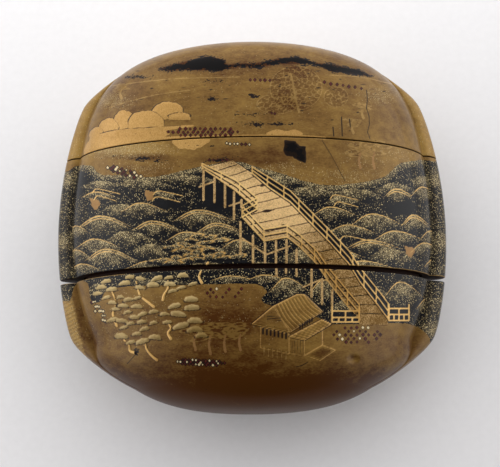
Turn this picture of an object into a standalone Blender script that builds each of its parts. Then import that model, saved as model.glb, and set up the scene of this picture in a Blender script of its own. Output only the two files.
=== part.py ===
"""Inro case of lacquered wood: a lid, a middle case and a bottom case, nested by thin lips.

Units are metres. The case lies on its back: +Z points out of the painted front, +Y towards the lid.
The origin is the middle of the case's box, on the surface that it lies on. The functions below work
from the waist, the widest and deepest line, and the resting place shifts the finished pieces.
"""

import math
from collections import namedtuple

import bmesh
import bpy
from mathutils import Matrix, Vector

# Heights along the case, each piece measured on its own outside
LID_HEIGHT = 0.0180
MIDDLE_HEIGHT = 0.0194
BOTTOM_HEIGHT = 0.0202
WAIST_RISE = 0.0082  # of the waist above the middle case's lower edge
LID_SEAM = 0.0003  # the fine line under the closed lid
OPEN_SEAM = 0.00075  # the bottom case sits a little way down off the middle case

# The lens-shaped body, measured at the waist
BODY_WIDTH = 0.0562  # before the swell of the sides
BODY_DEPTH = 0.0260
WAIST_SWELL = 0.00075  # each side stands out this much more at the waist
SWELL_REACH = 0.0150  # from the waist, up and down, to where the swell has died away
TOP_SQUARENESS = 3.45  # superellipse exponents of the outline, above and below the waist
BOTTOM_SQUARENESS = 2.7
PROFILE_SQUARENESS_GAIN = 1.0  # the side view is squarer than the front view by this much

# Cord ribs down the two sides, with a channel for the cord in each
RIB_REACH = 0.0029  # how far a rib stands out of the body's width, before the swell
RIB_THICKNESS = 0.0044
RIB_BOW_RADIUS = 0.0665  # of the long bow of a rib's outer edge
RIB_END_INSET = 0.0028  # from the end of the case to where the rib has sunk into the body
RIB_END_ANGLE_DEG = 25.0  # at which a rib's end rises from the body to its corner
GROOVE_END_INSET = 0.0056  # from the lower end of the case to where a rib's grooves have run out
GROOVE_RUN_OUT = 0.0060  # the length over which they grow shallow
RIB_CORNER_SOFTNESS = 0.0008
RIB_MOST_OF_DEPTH = 0.3  # a rib is never thicker than this share of the body's depth
CHANNEL_DIAMETER = 0.0018
CHANNEL_WALL = 0.0007  # least wall between the channel and the outside, or a socket

# Walls, and the lips that hold one piece in the next
SOCKET_WALL = 0.0013
LIP_WALL = 0.0008
LIP_GAP = 0.0003  # all round, between a lip and the socket that it slides into
LIP_HEIGHT = 0.0040
SOCKET_HEADROOM = 0.0003  # over a lip's rim when the case is shut tight
MIDDLE_FLOOR = 0.0016
SHELL_WALL = 0.0020  # of the lid's dome and of the bottom case's bowl

REST_FLAT_DEPTH = 0.0003  # worn off the back, so that the case lies still

# How finely the round surfaces are cut into faces
FACE_STEPS = 26  # along the front, and again along the back, from rib to rib
RIB_STEPS = 8
MIDDLE_STEPS = 6
OUTSIDE_STEP_DEG = 6.0
INSIDE_STEP_DEG = 9.0
CHANNEL_SIDES = 12
CHANNEL_STATIONS = 18
SHARP_ANGLE_DEG = 30.0

HALF_WIDTH = BODY_WIDTH / 2
HALF_DEPTH = BODY_DEPTH / 2
UPPER_SEAM = MIDDLE_HEIGHT - WAIST_RISE
LOWER_SEAM = -WAIST_RISE
LID_EDGE = UPPER_SEAM + LID_SEAM
BOTTOM_EDGE = LOWER_SEAM - OPEN_SEAM
RIM_OF_MIDDLE = UPPER_SEAM + LIP_HEIGHT
RIM_OF_BOTTOM = BOTTOM_EDGE + LIP_HEIGHT
SOCKET_DEPTH = LIP_HEIGHT + SOCKET_HEADROOM
CHANNEL_RADIUS = CHANNEL_DIAMETER / 2

# One end of the body: how far it reaches from the waist, and how square its outline is
End = namedtuple("End", "reach squareness")
TOP = End(LID_EDGE + LID_HEIGHT, TOP_SQUARENESS)
BOTTOM = End(BOTTOM_HEIGHT - BOTTOM_EDGE, BOTTOM_SQUARENESS)

LACQUER = {
    "lid": (0.30, 0.19, 0.07),
    "middle_case": (0.02, 0.02, 0.022),
    "bottom_case": (0.27, 0.16, 0.055),
}
GOLDEN = ("lid", "bottom_case")


def end_at(y):
    return TOP if y >= 0 else BOTTOM


def body_half_sizes(y, inset=0.0):
    """Half width and half depth of the body's elliptical section at height y, taken in by inset."""
    end = end_at(y)
    share = min(abs(y) / (end.reach - inset), 1.0)
    front = end.squareness
    profile = front + PROFILE_SQUARENESS_GAIN
    half_width = (HALF_WIDTH - inset) * (1.0 - share**front) ** (1.0 / front)
    half_depth = (HALF_DEPTH - inset) * (1.0 - share**profile) ** (1.0 / profile)
    return half_width + waist_swell(y), half_depth


def waist_swell(y):
    """How much each side swells out at height y: most at the waist, and nothing past its reach."""
    return WAIST_SWELL * (1.0 - min(abs(y) / SWELL_REACH, 1.0) ** 2) ** 2


def rib_bow(y):
    """Where the long bow of a rib's outer edge lies at height y."""
    fall = RIB_BOW_RADIUS - math.sqrt(max(RIB_BOW_RADIUS**2 - y**2, 0.0))
    return HALF_WIDTH + RIB_REACH - fall


def rib_stand_out(y, groove_x):
    """How far a rib's edge stands out of its grooves: out to the bow, less where its end runs out."""
    bow = rib_bow(y) - groove_x
    from_end = end_at(y).reach - RIB_END_INSET - abs(y)
    end_slope = from_end * math.tan(math.radians(RIB_END_ANGLE_DEG))
    soft_lesser = (bow + end_slope - math.hypot(bow - end_slope, RIB_CORNER_SOFTNESS)) / 2
    return max(soft_lesser, 0.0)


def groove_run_out(y):
    """How far the body has come out to meet the rib at height y: 0 where the grooves are full,
    and 1 below their ends, where rib and body are one smooth shoulder."""
    from_start = GROOVE_END_INSET + GROOVE_RUN_OUT - BOTTOM.reach - y
    share = min(max(from_start / GROOVE_RUN_OUT, 0.0), 1.0)
    return share * share * (3 - 2 * share)


def channel_centre(y):
    """The cord channel follows the rib's bow, and comes out of its sloping ends."""
    return rib_bow(y) - CHANNEL_WALL - CHANNEL_RADIUS


def straight_half_sizes(seam, rim, inset):
    """A straight-sided section between two heights: it is inside the body by inset at both,
    and leaves the cord channels their wall."""
    (width_a, depth_a), (width_b, depth_b) = body_half_sizes(seam), body_half_sizes(rim)
    beside_channel = channel_centre(rim) - CHANNEL_RADIUS - CHANNEL_WALL
    past_socket = inset - SOCKET_WALL
    half_width = min(width_a - inset, width_b - inset, beside_channel - past_socket)
    return half_width, min(depth_a, depth_b) - inset


def section_ring(y, half_sizes, with_ribs=False):
    """Points round one section at height y, always the same number, so any two can be bridged."""
    half_width, half_depth = half_sizes
    rib_half = min(RIB_THICKNESS / 2, RIB_MOST_OF_DEPTH * half_depth)
    groove = math.asin(rib_half / half_depth)
    groove_x = half_width * math.cos(groove)
    stand_out = 0.0
    if with_ribs:
        rib_edge = groove_x + rib_stand_out(y, groove_x)
        half_width += groove_run_out(y) * max(rib_edge - half_width, 0.0)
        groove_x = half_width * math.cos(groove)
        stand_out = max(rib_edge - groove_x, 0.0)

    def rib_points(side):
        for step in range(1, RIB_STEPS):
            turn = math.pi * (step / RIB_STEPS - 0.5)
            z = rib_half * math.sin(turn)
            on_body = half_width * math.sqrt(1 - (z / half_depth) ** 2)
            x = max(on_body, groove_x + stand_out * math.cos(turn))
            yield Vector((side * x, y, side * z))

    def face_points(start):
        for step in range(FACE_STEPS + 1):
            angle = start + groove + (math.pi - 2 * groove) * step / FACE_STEPS
            yield Vector((half_width * math.cos(angle), y, half_depth * math.sin(angle)))

    return [*rib_points(1), *face_points(0.0), *rib_points(-1), *face_points(math.pi)]


def end_stations(y_from, step_deg, inset=0.0):
    """Heights from y_from out to near the end of the body, closer together where it rounds over."""
    end = end_at(y_from)
    reach = end.reach - inset
    power = 2.0 / end.squareness
    first = math.degrees(math.asin((abs(y_from) / reach) ** (1 / power)))
    count = max(round((90 - first) / step_deg), 3)
    angles = [math.radians(first + (90 - first) * step / count) for step in range(count)]
    return [math.copysign(reach * math.sin(angle) ** power, y_from) for angle in angles]


def outside_rings(stations):
    """The outside of the body with its ribs."""
    return [section_ring(y, body_half_sizes(y), with_ribs=True) for y in stations]


def inside_rings(y_from):
    """The inside of a dome or bowl, from y_from to near its end."""
    stations = end_stations(y_from, INSIDE_STEP_DEG, SHELL_WALL)
    return [section_ring(y, body_half_sizes(y, SHELL_WALL)) for y in stations]


def add_object(name, mesh):
    bmesh.ops.recalc_face_normals(mesh, faces=mesh.faces)
    data = bpy.data.meshes.new(name)
    mesh.to_mesh(data)
    mesh.free()
    added = bpy.data.objects.new(name, data)
    bpy.context.scene.collection.objects.link(added)
    return added


def skin(name, rings, first_pole, last_pole):
    """A closed mesh: a fan from first_pole, the rings bridged in order, and a fan to last_pole."""
    mesh = bmesh.new()
    loops = [[mesh.verts.new(point) for point in ring] for ring in rings]
    count = len(loops[0])
    following = [(i + 1) % count for i in range(count)]
    for near, far in zip(loops, loops[1:]):
        for i, j in enumerate(following):
            mesh.faces.new((near[i], near[j], far[j], far[i]))
    for pole, loop in ((first_pole, loops[0]), (last_pole, loops[-1])):
        tip = mesh.verts.new(pole)
        for i, j in enumerate(following):
            mesh.faces.new((tip, loop[i], loop[j]))
    return add_object(name, mesh)


def straight_rings(seam, rim, inset, heights):
    half_sizes = straight_half_sizes(seam, rim, inset)
    return [section_ring(y, half_sizes) for y in heights]


def make_lid():
    """A dome over a straight socket, open downwards for the middle case's lip."""
    ledge = LID_EDGE + SOCKET_DEPTH
    rings = outside_rings(end_stations(LID_EDGE, OUTSIDE_STEP_DEG))[::-1]
    rings += straight_rings(UPPER_SEAM, RIM_OF_MIDDLE, SOCKET_WALL, (LID_EDGE, ledge))
    rings += inside_rings(ledge)
    outer_pole = Vector((0, TOP.reach, 0))
    inner_pole = Vector((0, TOP.reach - SHELL_WALL, 0))
    return skin("lid", rings, outer_pole, inner_pole)


def make_middle_case():
    """A straight-sided compartment with a lip above it and a socket for the bottom case below."""
    ceiling = LOWER_SEAM + SOCKET_DEPTH
    floor = ceiling + MIDDLE_FLOOR
    lip = SOCKET_WALL + LIP_GAP
    fall = UPPER_SEAM - LOWER_SEAM
    outside = [UPPER_SEAM - fall * step / MIDDLE_STEPS for step in range(MIDDLE_STEPS + 1)]
    above = (UPPER_SEAM, RIM_OF_MIDDLE)
    below = (LOWER_SEAM, RIM_OF_BOTTOM)

    rings = straight_rings(*above, lip + LIP_WALL, (floor, RIM_OF_MIDDLE))
    rings += straight_rings(*above, lip, (RIM_OF_MIDDLE, UPPER_SEAM))
    rings += outside_rings(outside)
    rings += straight_rings(*below, SOCKET_WALL, (LOWER_SEAM, ceiling))
    return skin("middle_case", rings, Vector((0, floor, 0)), Vector((0, ceiling, 0)))


def make_bottom_case():
    """A bowl with a lip that slides up into the middle case."""
    lip = SOCKET_WALL + LIP_GAP
    ends = (BOTTOM_EDGE, RIM_OF_BOTTOM)

    rings = inside_rings(BOTTOM_EDGE)[::-1]
    rings += straight_rings(*ends, lip + LIP_WALL, (RIM_OF_BOTTOM,))
    rings += straight_rings(*ends, lip, (RIM_OF_BOTTOM, BOTTOM_EDGE))
    rings += outside_rings(end_stations(BOTTOM_EDGE, OUTSIDE_STEP_DEG))
    inner_pole = Vector((0, SHELL_WALL - BOTTOM.reach, 0))
    outer_pole = Vector((0, -BOTTOM.reach, 0))
    return skin("bottom_case", rings, inner_pole, outer_pole)


def make_channel_cutter(side):
    """A bowed tube through one rib, from free air past its lower end to free air past its upper."""
    lowest = RIB_END_INSET - BOTTOM.reach
    highest = TOP.reach - RIB_END_INSET
    turns = [math.tau * i / CHANNEL_SIDES for i in range(CHANNEL_SIDES)]
    circle = [CHANNEL_RADIUS * Vector((math.cos(turn), 0, math.sin(turn))) for turn in turns]
    centres = []
    for station in range(CHANNEL_STATIONS + 1):
        y = lowest + (highest - lowest) * station / CHANNEL_STATIONS
        centres.append(Vector((side * channel_centre(y), y, 0)))
    rings = [[centre + spoke for spoke in circle] for centre in centres]
    name = "cord_channel_right" if side > 0 else "cord_channel_left"
    return as_cutter(skin(name, rings, centres[0], centres[-1]))


def make_flat_cutter():
    """A block whose upper face planes the back flat."""
    mesh = bmesh.new()
    size = Matrix.Diagonal((BODY_WIDTH, TOP.reach + BOTTOM.reach, HALF_DEPTH, 1))
    drop = Matrix.Translation((0, 0, REST_FLAT_DEPTH - HALF_DEPTH * 3 / 2))
    bmesh.ops.create_cube(mesh, size=1, matrix=drop @ size)
    return as_cutter(add_object("rest_flat", mesh))


def as_cutter(block):
    block.hide_render = True
    block.display_type = "WIRE"
    return block


def cut(case, cutters):
    for cutter in cutters:
        boolean = case.modifiers.new(cutter.name, "BOOLEAN")
        boolean.operation = "DIFFERENCE"
        boolean.solver = "EXACT"
        boolean.object = cutter


def lacquer_material(name):
    material = bpy.data.materials.new(name + "_lacquer")
    material.use_nodes = True
    shader = material.node_tree.nodes["Principled BSDF"]
    shader.inputs["Base Color"].default_value = (*LACQUER[name], 1)
    shader.inputs["Roughness"].default_value = 0.3
    shader.inputs["Metallic"].default_value = 0.5 if name in GOLDEN else 0.0
    return material


def main():
    for old in list(bpy.data.objects):
        bpy.data.objects.remove(old)
    resting_place = bpy.data.objects.new("resting_place", None)
    bpy.context.scene.collection.objects.link(resting_place)
    resting_place.location = (0, (BOTTOM.reach - TOP.reach) / 2, HALF_DEPTH - REST_FLAT_DEPTH)

    cases = [make_lid(), make_middle_case(), make_bottom_case()]
    cutters = [make_channel_cutter(1), make_channel_cutter(-1), make_flat_cutter()]
    for piece in cases + cutters:
        piece.parent = resting_place
    for case in cases:
        cut(case, cutters)
        case.data.materials.append(lacquer_material(case.name))
        case.data.shade_smooth()
        case.data.set_sharp_from_angle(angle=math.radians(SHARP_ANGLE_DEG))


main()
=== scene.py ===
# %% [markdown]
# An inro case in gold and black lacquer.
# An inro is a small box of stacked cases that hung from a sash on a cord. This one is shaped like a lens. It has a
# domed lid, a straight middle case and a bowl below, and a rib for the cord down each side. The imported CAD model
# gives the true sizes. Here each case gets a smooth skin in place of the faceted one, and then its lacquer picture.

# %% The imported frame
import itertools
import math

import bpy
import numpy as np
from mathutils import Matrix, Vector


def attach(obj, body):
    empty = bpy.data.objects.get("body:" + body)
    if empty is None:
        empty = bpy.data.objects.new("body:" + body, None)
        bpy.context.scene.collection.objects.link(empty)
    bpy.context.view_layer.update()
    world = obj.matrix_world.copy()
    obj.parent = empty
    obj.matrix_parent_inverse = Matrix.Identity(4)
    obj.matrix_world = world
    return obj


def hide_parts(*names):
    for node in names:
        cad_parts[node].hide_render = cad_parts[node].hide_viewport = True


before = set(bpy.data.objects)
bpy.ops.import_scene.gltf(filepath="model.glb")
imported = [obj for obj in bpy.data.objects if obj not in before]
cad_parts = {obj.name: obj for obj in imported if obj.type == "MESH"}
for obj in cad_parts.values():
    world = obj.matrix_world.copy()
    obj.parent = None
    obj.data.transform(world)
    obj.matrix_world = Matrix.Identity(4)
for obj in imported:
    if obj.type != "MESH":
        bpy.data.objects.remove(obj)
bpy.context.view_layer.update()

# %% [markdown]
# The photograph is taken from above, with the case lying on its back and its lid away from us. The camera stands
# 170 mm from the middle of the waist, tipped a little towards the lower end, with a longish lens. Those values came
# from fitting the outline and the two seams of the model to the picture. Everything below is in millimetres from
# the middle of the waist, and is turned into metres only when it goes into Blender.

# %% The camera
MM = 0.001
WAIST = Vector((0, -0.175, 12.7)) * MM  # the middle of the waist, in the frame's own metres
CAMERA_DISTANCE = 170.0
CAMERA_TILT = math.radians(13.18)
CAMERA_ROLL = math.radians(0.444)
PICTURE_WIDTH = 500
PICTURE_HEIGHT = 467
FOCAL_PX = 1062.06
WAIST_PX = (252.13, 229.04)
SENSOR_WIDTH = 36.0


def deselect_all():
    bpy.ops.object.select_all(action="DESELECT")


deselect_all()
back_off = Vector((0, -CAMERA_DISTANCE * math.sin(CAMERA_TILT), CAMERA_DISTANCE * math.cos(CAMERA_TILT)))
stand = WAIST + Matrix.Rotation(-CAMERA_ROLL, 3, "Z") @ back_off * MM
bpy.ops.object.camera_add(location=stand, rotation=(CAMERA_TILT, 0, -CAMERA_ROLL))
camera = bpy.context.object
camera.name = "camera"
camera.data.sensor_width = SENSOR_WIDTH
camera.data.lens = SENSOR_WIDTH * FOCAL_PX / PICTURE_WIDTH
camera.data.shift_x = (PICTURE_WIDTH / 2 - WAIST_PX[0]) / PICTURE_WIDTH
camera.data.shift_y = (WAIST_PX[1] - PICTURE_HEIGHT / 2) / PICTURE_WIDTH
camera.data.clip_start = 0.005
bpy.context.scene.camera = camera
print("camera at", [round(1000 * value, 1) for value in stand], "mm, lens", round(camera.data.lens, 2))

# %% [markdown]
# The body is a lens: its front view and its side view are both superellipses, squarer at the lid than at the
# bottom, and its sides swell out a little more round the waist. The CAD source uses the same few numbers, so the
# smooth skin lies where its facets do.

# %% The body's own shape
HALF_WIDTH = 28.1
HALF_DEPTH = 13.0
TOP_REACH = 29.5
BOTTOM_REACH = 29.15
TOP_SQUARENESS = 3.45
BOTTOM_SQUARENESS = 2.7
PROFILE_GAIN = 1.0
WAIST_SWELL = 0.75
SWELL_REACH = 15.0  # up and down from the waist
REST_FLAT = 0.3


def half_sizes(y, inset=0.0):
    """Half width and half depth of the body at the heights y, taken in by inset."""
    y = np.asarray(y, float)
    reach = np.where(y >= 0, TOP_REACH, BOTTOM_REACH) - inset
    square = np.where(y >= 0, TOP_SQUARENESS, BOTTOM_SQUARENESS)
    share = np.minimum(np.abs(y) / reach, 1.0)
    swell = WAIST_SWELL * (1 - np.minimum(np.abs(y) / SWELL_REACH, 1) ** 2) ** 2
    wide = (HALF_WIDTH - inset) * (1 - share**square) ** (1 / square) + swell
    deep = (HALF_DEPTH - inset) * (1 - share ** (square + PROFILE_GAIN)) ** (1 / (square + PROFILE_GAIN))
    return wide, deep


print("half width and depth at the seams:", [np.round(half_sizes(y), 2).tolist() for y in (11.5, -8.95)])

# %% [markdown]
# The cord ribs are carved in one with the cases. A rib's edge follows a long bow, and its ends sink into the body
# before the case ends, where the bore for the cord comes out. Near the lower end the grooves beside a rib run out:
# there the body comes out to meet the rib, and the two make one smooth shoulder.

# %% The ribs
RIB_REACH = 2.9
RIB_HALF_THICKNESS = 2.2
RIB_BOW_RADIUS = 66.5
RIB_END_INSET = 2.8
RIB_END_SLOPE = math.tan(math.radians(25))
RIB_CORNER_SOFTNESS = 0.8
RIB_MOST_OF_DEPTH = 0.3
GROOVE_END_INSET = 5.6  # from the lower end to where the grooves have run out
GROOVE_RUN_OUT = 6.0


def rib_bow(y):
    return HALF_WIDTH + RIB_REACH - RIB_BOW_RADIUS + np.sqrt(RIB_BOW_RADIUS**2 - np.square(y))


def rib_stand_out(y, groove_x):
    """How far a rib's edge stands out of its grooves: out to the bow, less where its end runs out."""
    bow = rib_bow(y) - groove_x
    from_end = np.where(y >= 0, TOP_REACH, BOTTOM_REACH) - RIB_END_INSET - np.abs(y)
    end_slope = from_end * RIB_END_SLOPE
    soft_lesser = (bow + end_slope - np.hypot(bow - end_slope, RIB_CORNER_SOFTNESS)) / 2
    return np.maximum(soft_lesser, 0.0)


def groove_run_out(y):
    """How far the body has come out to meet the rib: 0 where the grooves are full, and 1 below their ends."""
    share = np.clip((GROOVE_END_INSET + GROOVE_RUN_OUT - BOTTOM_REACH - y) / GROOVE_RUN_OUT, 0, 1)
    return share * share * (3 - 2 * share)


print("rib stands out at the waist:", round(float(rib_bow(0.0) - half_sizes(0.0)[0]), 2), "mm")

# %% [markdown]
# One section through the case is a closed loop: right rib, front, left rib, back. The front takes the picture, so
# its columns are as close as the camera can tell apart, about 0.15 mm. The back needs far fewer.

# %% One section as a loop of points
FINE_STEP = 0.15
BACK_COLUMNS = 72
RIB_COLUMNS = 20
DEPTH_SEEN = 0.45  # a step in depth counts for this much of a step across
HARD_EDGE = 1e-6
FINE_TURNS = 4001  # steps in which a curve's length is measured


def even_shares(count):
    """Shares of the half turn across a face, spaced evenly as the camera sees them."""
    turn = np.linspace(0, math.pi, FINE_TURNS)
    steps = np.hypot(np.diff(HALF_WIDTH * np.cos(turn)), DEPTH_SEEN * np.diff(HALF_DEPTH * np.sin(turn)))
    along = np.concatenate([[0], np.cumsum(steps)])
    return np.interp(np.linspace(0, along[-1], count + 1), along, turn / math.pi), along[-1]


FRONT_COLUMNS = round(even_shares(10)[1] / FINE_STEP)
FRONT_SHARES = even_shares(FRONT_COLUMNS)[0]
BACK_SHARES = even_shares(BACK_COLUMNS)[0]


def sections(y, wide, deep, ribbed):
    """Loops of points for several heights at once, as an array of rows, columns and x, y, z."""
    y, wide, deep, ribbed = (np.asarray(value, float)[:, None] for value in (y, wide, deep, ribbed))
    wide = np.maximum(wide, HARD_EDGE)
    deep = np.maximum(deep, HARD_EDGE)
    rib_half = np.minimum(RIB_HALF_THICKNESS, RIB_MOST_OF_DEPTH * deep)
    groove = np.arcsin(rib_half / deep)
    rib_edge = wide * np.cos(groove) + rib_stand_out(y, wide * np.cos(groove))
    wide = wide + groove_run_out(y) * np.maximum(rib_edge - wide, 0) * ribbed
    groove_x = wide * np.cos(groove)
    stand_out = np.maximum(rib_edge - groove_x, 0) * ribbed
    turn = math.pi * (np.arange(1, RIB_COLUMNS) / RIB_COLUMNS - 0.5)
    rib_z = rib_half * np.sin(turn)
    on_body = wide * np.sqrt(1 - (rib_z / deep) ** 2)
    rib_x = np.maximum(on_body, groove_x + stand_out * np.cos(turn))
    front = groove + (math.pi - 2 * groove) * FRONT_SHARES
    back = math.pi + groove + (math.pi - 2 * groove) * BACK_SHARES
    x = np.hstack([rib_x, wide * np.cos(front), -rib_x, wide * np.cos(back)])
    z = np.hstack([rib_z, deep * np.sin(front), -rib_z, deep * np.sin(back)])
    return np.stack([x, np.broadcast_to(y, x.shape), z], axis=-1)


COLUMNS = sections([0], [HALF_WIDTH], [HALF_DEPTH], [1]).shape[1]
print("columns round a section:", COLUMNS, "of them on the front:", FRONT_COLUMNS + 1)

# %% [markdown]
# A case is a stack of such sections from pole to pole: down the outside, over the soft edge at the seam, and back
# up the inside. A grid primitive has just that many rows and columns, so each case starts as a flat grid. Extruding
# and insetting can't give a superellipse with a rib that runs out, so the grid's rows are laid on the sections by
# formula. Edit mode then merges the seam and the two poles, and turns all faces outwards.

# %% A case from a grid
EDGE_RADIUS = 0.12
EDGE_TURNS = (15, 40, 65, 90)  # degrees round the soft edge at a seam
MERGE_WITHIN = 2e-7  # metres


def heights_to_end(y_from, y_end):
    """Heights from a seam out to the pole, a fine step apart as the camera sees them."""
    square = TOP_SQUARENESS if y_end > 0 else BOTTOM_SQUARENESS
    turn = np.linspace(math.asin((abs(y_from) / abs(y_end)) ** (square / 2)), math.pi / 2, FINE_TURNS)
    y = y_end * np.sin(turn) ** (2 / square)
    steps = np.hypot(np.diff(y), DEPTH_SEEN * np.diff(half_sizes(y)[1]))
    along = np.concatenate([[0], np.cumsum(steps)])
    return np.interp(np.linspace(0, along[-1], round(along[-1] / FINE_STEP) + 1), along, y)


def soft_edge(y_edge, direction):
    """Heights and insets of a small round at a seam, from the outside to the seam's face."""
    turn = np.radians(EDGE_TURNS)
    heights = y_edge + direction * EDGE_RADIUS * (1 - np.sin(turn))
    return heights, EDGE_RADIUS * (1 - np.cos(turn))


def push_in(rows, inset):
    """Moves each loop inwards by its own inset, along the loop's own sideways direction."""
    along = np.roll(rows, -1, axis=1) - np.roll(rows, 1, axis=1)
    normal = np.stack([along[..., 2], -along[..., 0]], axis=-1)
    normal /= np.maximum(np.linalg.norm(normal, axis=-1, keepdims=True), HARD_EDGE)
    moved = rows.copy()
    moved[..., 0] -= normal[..., 0] * inset[:, None]
    moved[..., 2] -= normal[..., 1] * inset[:, None]
    return moved


def outside_rows(heights, insets=None):
    wide, deep = half_sizes(heights)
    rows = sections(heights, wide, deep, np.ones(len(heights)))
    return rows if insets is None else push_in(rows, insets)


def plain_rows(heights, wide, deep):
    count = len(heights)
    return sections(heights, np.broadcast_to(wide, count), np.broadcast_to(deep, count), np.zeros(count))


def case_from_grid(name, outer, inner_before=None, inner_after=None):
    """Wraps a grid on the rows, and marks which of its points belong to the outside."""
    parts = [part for part in (inner_before, outer, inner_after) if part is not None]
    rows = np.concatenate(parts)
    is_outer = np.concatenate([np.full(len(part), float(part is outer)) for part in parts])
    deselect_all()
    bpy.ops.mesh.primitive_grid_add(x_subdivisions=COLUMNS, y_subdivisions=len(rows) - 1, size=1)
    case = bpy.context.object
    case.name = name
    case.data.name = name
    rows = np.concatenate([rows, rows[:, :1]], axis=1)
    rows[..., 2] = np.maximum(rows[..., 2], REST_FLAT - HALF_DEPTH)
    points = rows.reshape(-1, 3) * MM + np.array(WAIST)
    case.data.vertices.foreach_set("co", points.astype(np.float32).ravel())
    outside = case.data.attributes.new("outside", "FLOAT", "POINT")
    outside.data.foreach_set("value", np.repeat(is_outer, COLUMNS + 1).astype(np.float32))
    bpy.ops.object.mode_set(mode="EDIT")
    bpy.ops.mesh.select_all(action="SELECT")
    bpy.ops.mesh.remove_doubles(threshold=MERGE_WITHIN)
    bpy.ops.mesh.normals_make_consistent(inside=False)
    bpy.ops.object.mode_set(mode="OBJECT")
    print(name, "has", len(case.data.vertices), "points in", len(rows), "rows")
    return case


# %% [markdown]
# The lid is the domed top. Inside it is a straight socket that the middle case's lip slides into, and above the
# socket the hollow of the dome, which is kept 2 mm inside the outside.

# %% The lid
SOCKET_WALL = 1.3
SHELL_WALL = 2.0
LIP_HEIGHT = 4.0
SOCKET_DEPTH = 4.3
UPPER_SEAM = 11.2
LID_EDGE = 11.38
CHANNEL_RADIUS = 0.9
CHANNEL_WALL = 0.7
INNER_TURNS = 16


def straight_sizes(seam, rim, inset):
    """Half sizes of a straight-sided stretch that stays inside the body, and clear of the cord's bores."""
    wide, deep = half_sizes([seam, rim])
    beside_bore = float(rib_bow(rim)) - 2 * (CHANNEL_WALL + CHANNEL_RADIUS)
    return min(wide.min() - inset, beside_bore - inset + SOCKET_WALL), deep.min() - inset


def hollow_rows(y_from, y_end):
    """The inside of a dome or bowl, from its open end to its pole."""
    y_pole = y_end - math.copysign(SHELL_WALL, y_end)
    square = TOP_SQUARENESS if y_end > 0 else BOTTOM_SQUARENESS
    first = math.asin((abs(y_from) / abs(y_pole)) ** (square / 2))
    heights = y_pole * np.sin(np.linspace(first, math.pi / 2, INNER_TURNS)) ** (2 / square)
    return plain_rows(heights, *half_sizes(heights, SHELL_WALL))


edge_heights, edge_insets = soft_edge(LID_EDGE, 1)
lid_heights = heights_to_end(LID_EDGE + EDGE_RADIUS, TOP_REACH)[::-1]
lid_outside = np.concatenate([outside_rows(lid_heights), outside_rows(edge_heights, edge_insets)])
lid_socket = straight_sizes(UPPER_SEAM, UPPER_SEAM + LIP_HEIGHT, SOCKET_WALL)
ledge = LID_EDGE + SOCKET_DEPTH
lid_inside = np.concatenate([plain_rows([LID_EDGE, ledge], *lid_socket), hollow_rows(ledge, TOP_REACH)])
lid = case_from_grid("lid_lacquered", lid_outside, inner_after=lid_inside)

# %% [markdown]
# The middle case has a floor. Above the floor is the compartment with its lip, and below it is the socket for the
# bottom case. Its rows start in the middle of the floor, go up and over the lip, down the outside, and end in the
# middle of the socket's ceiling.

# %% The middle case
LOWER_SEAM = -8.2
BOTTOM_EDGE = -8.95
RIM_OF_MIDDLE = UPPER_SEAM + LIP_HEIGHT
RIM_OF_BOTTOM = BOTTOM_EDGE + LIP_HEIGHT
LIP_INSET = 1.6
LIP_WALL = 0.8
FLOOR_THICKNESS = 1.6
CEILING = LOWER_SEAM + SOCKET_DEPTH
FLOOR = CEILING + FLOOR_THICKNESS


def closed_rows(height, sizes):
    """A flat end: one row in the middle, and one at its rim."""
    return np.concatenate([plain_rows([height], 0, 0), plain_rows([height], *sizes)])


lip_inner = straight_sizes(UPPER_SEAM, RIM_OF_MIDDLE, LIP_INSET + LIP_WALL)
lip_outer = straight_sizes(UPPER_SEAM, RIM_OF_MIDDLE, LIP_INSET)
compartment = np.concatenate([
    closed_rows(FLOOR, lip_inner),
    plain_rows([RIM_OF_MIDDLE], *lip_inner),
    plain_rows([RIM_OF_MIDDLE, UPPER_SEAM], *lip_outer),
])
top_round, top_insets = soft_edge(UPPER_SEAM, -1)
low_round, low_insets = soft_edge(LOWER_SEAM, 1)
straight_count = round((UPPER_SEAM - LOWER_SEAM) / FINE_STEP)
middle_heights = np.linspace(UPPER_SEAM - EDGE_RADIUS, LOWER_SEAM + EDGE_RADIUS, straight_count)
middle_outside = np.concatenate([
    outside_rows(top_round, top_insets)[::-1],
    outside_rows(middle_heights),
    outside_rows(low_round, low_insets),
])
middle_socket = straight_sizes(LOWER_SEAM, RIM_OF_BOTTOM, SOCKET_WALL)
under_middle = np.concatenate([
    plain_rows([LOWER_SEAM], *middle_socket),
    closed_rows(CEILING, middle_socket)[::-1],
])
middle_case = case_from_grid("middle_case_lacquered", middle_outside, compartment, under_middle)

# %% [markdown]
# The bottom case is a bowl with a lip of its own. It isn't pushed quite home, so its lip shows as a dark line in
# the open seam.

# %% The bottom case
bottom_lip_inner = straight_sizes(BOTTOM_EDGE, RIM_OF_BOTTOM, LIP_INSET + LIP_WALL)
bottom_lip_outer = straight_sizes(BOTTOM_EDGE, RIM_OF_BOTTOM, LIP_INSET)
bowl_inside = np.concatenate([
    hollow_rows(BOTTOM_EDGE, -BOTTOM_REACH)[::-1],
    plain_rows([RIM_OF_BOTTOM], *bottom_lip_inner),
    plain_rows([RIM_OF_BOTTOM, BOTTOM_EDGE], *bottom_lip_outer),
])
edge_heights, edge_insets = soft_edge(BOTTOM_EDGE, -1)
bottom_heights = heights_to_end(BOTTOM_EDGE - EDGE_RADIUS, -BOTTOM_REACH)
bottom_outside = np.concatenate([
    outside_rows(edge_heights, edge_insets)[::-1],
    outside_rows(bottom_heights),
])
bottom_case = case_from_grid("bottom_case_lacquered", bottom_outside, bowl_inside)

# %% [markdown]
# The cord ran through a bore in each rib that follows the rib's bow. A disc as wide as the bore is set across it at
# the lower end and spun about the bow's centre, which leaves a curved rod. A Boolean takes the rod out of all three
# cases, as a drill would, and the left rod is a mirrored copy.

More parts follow.
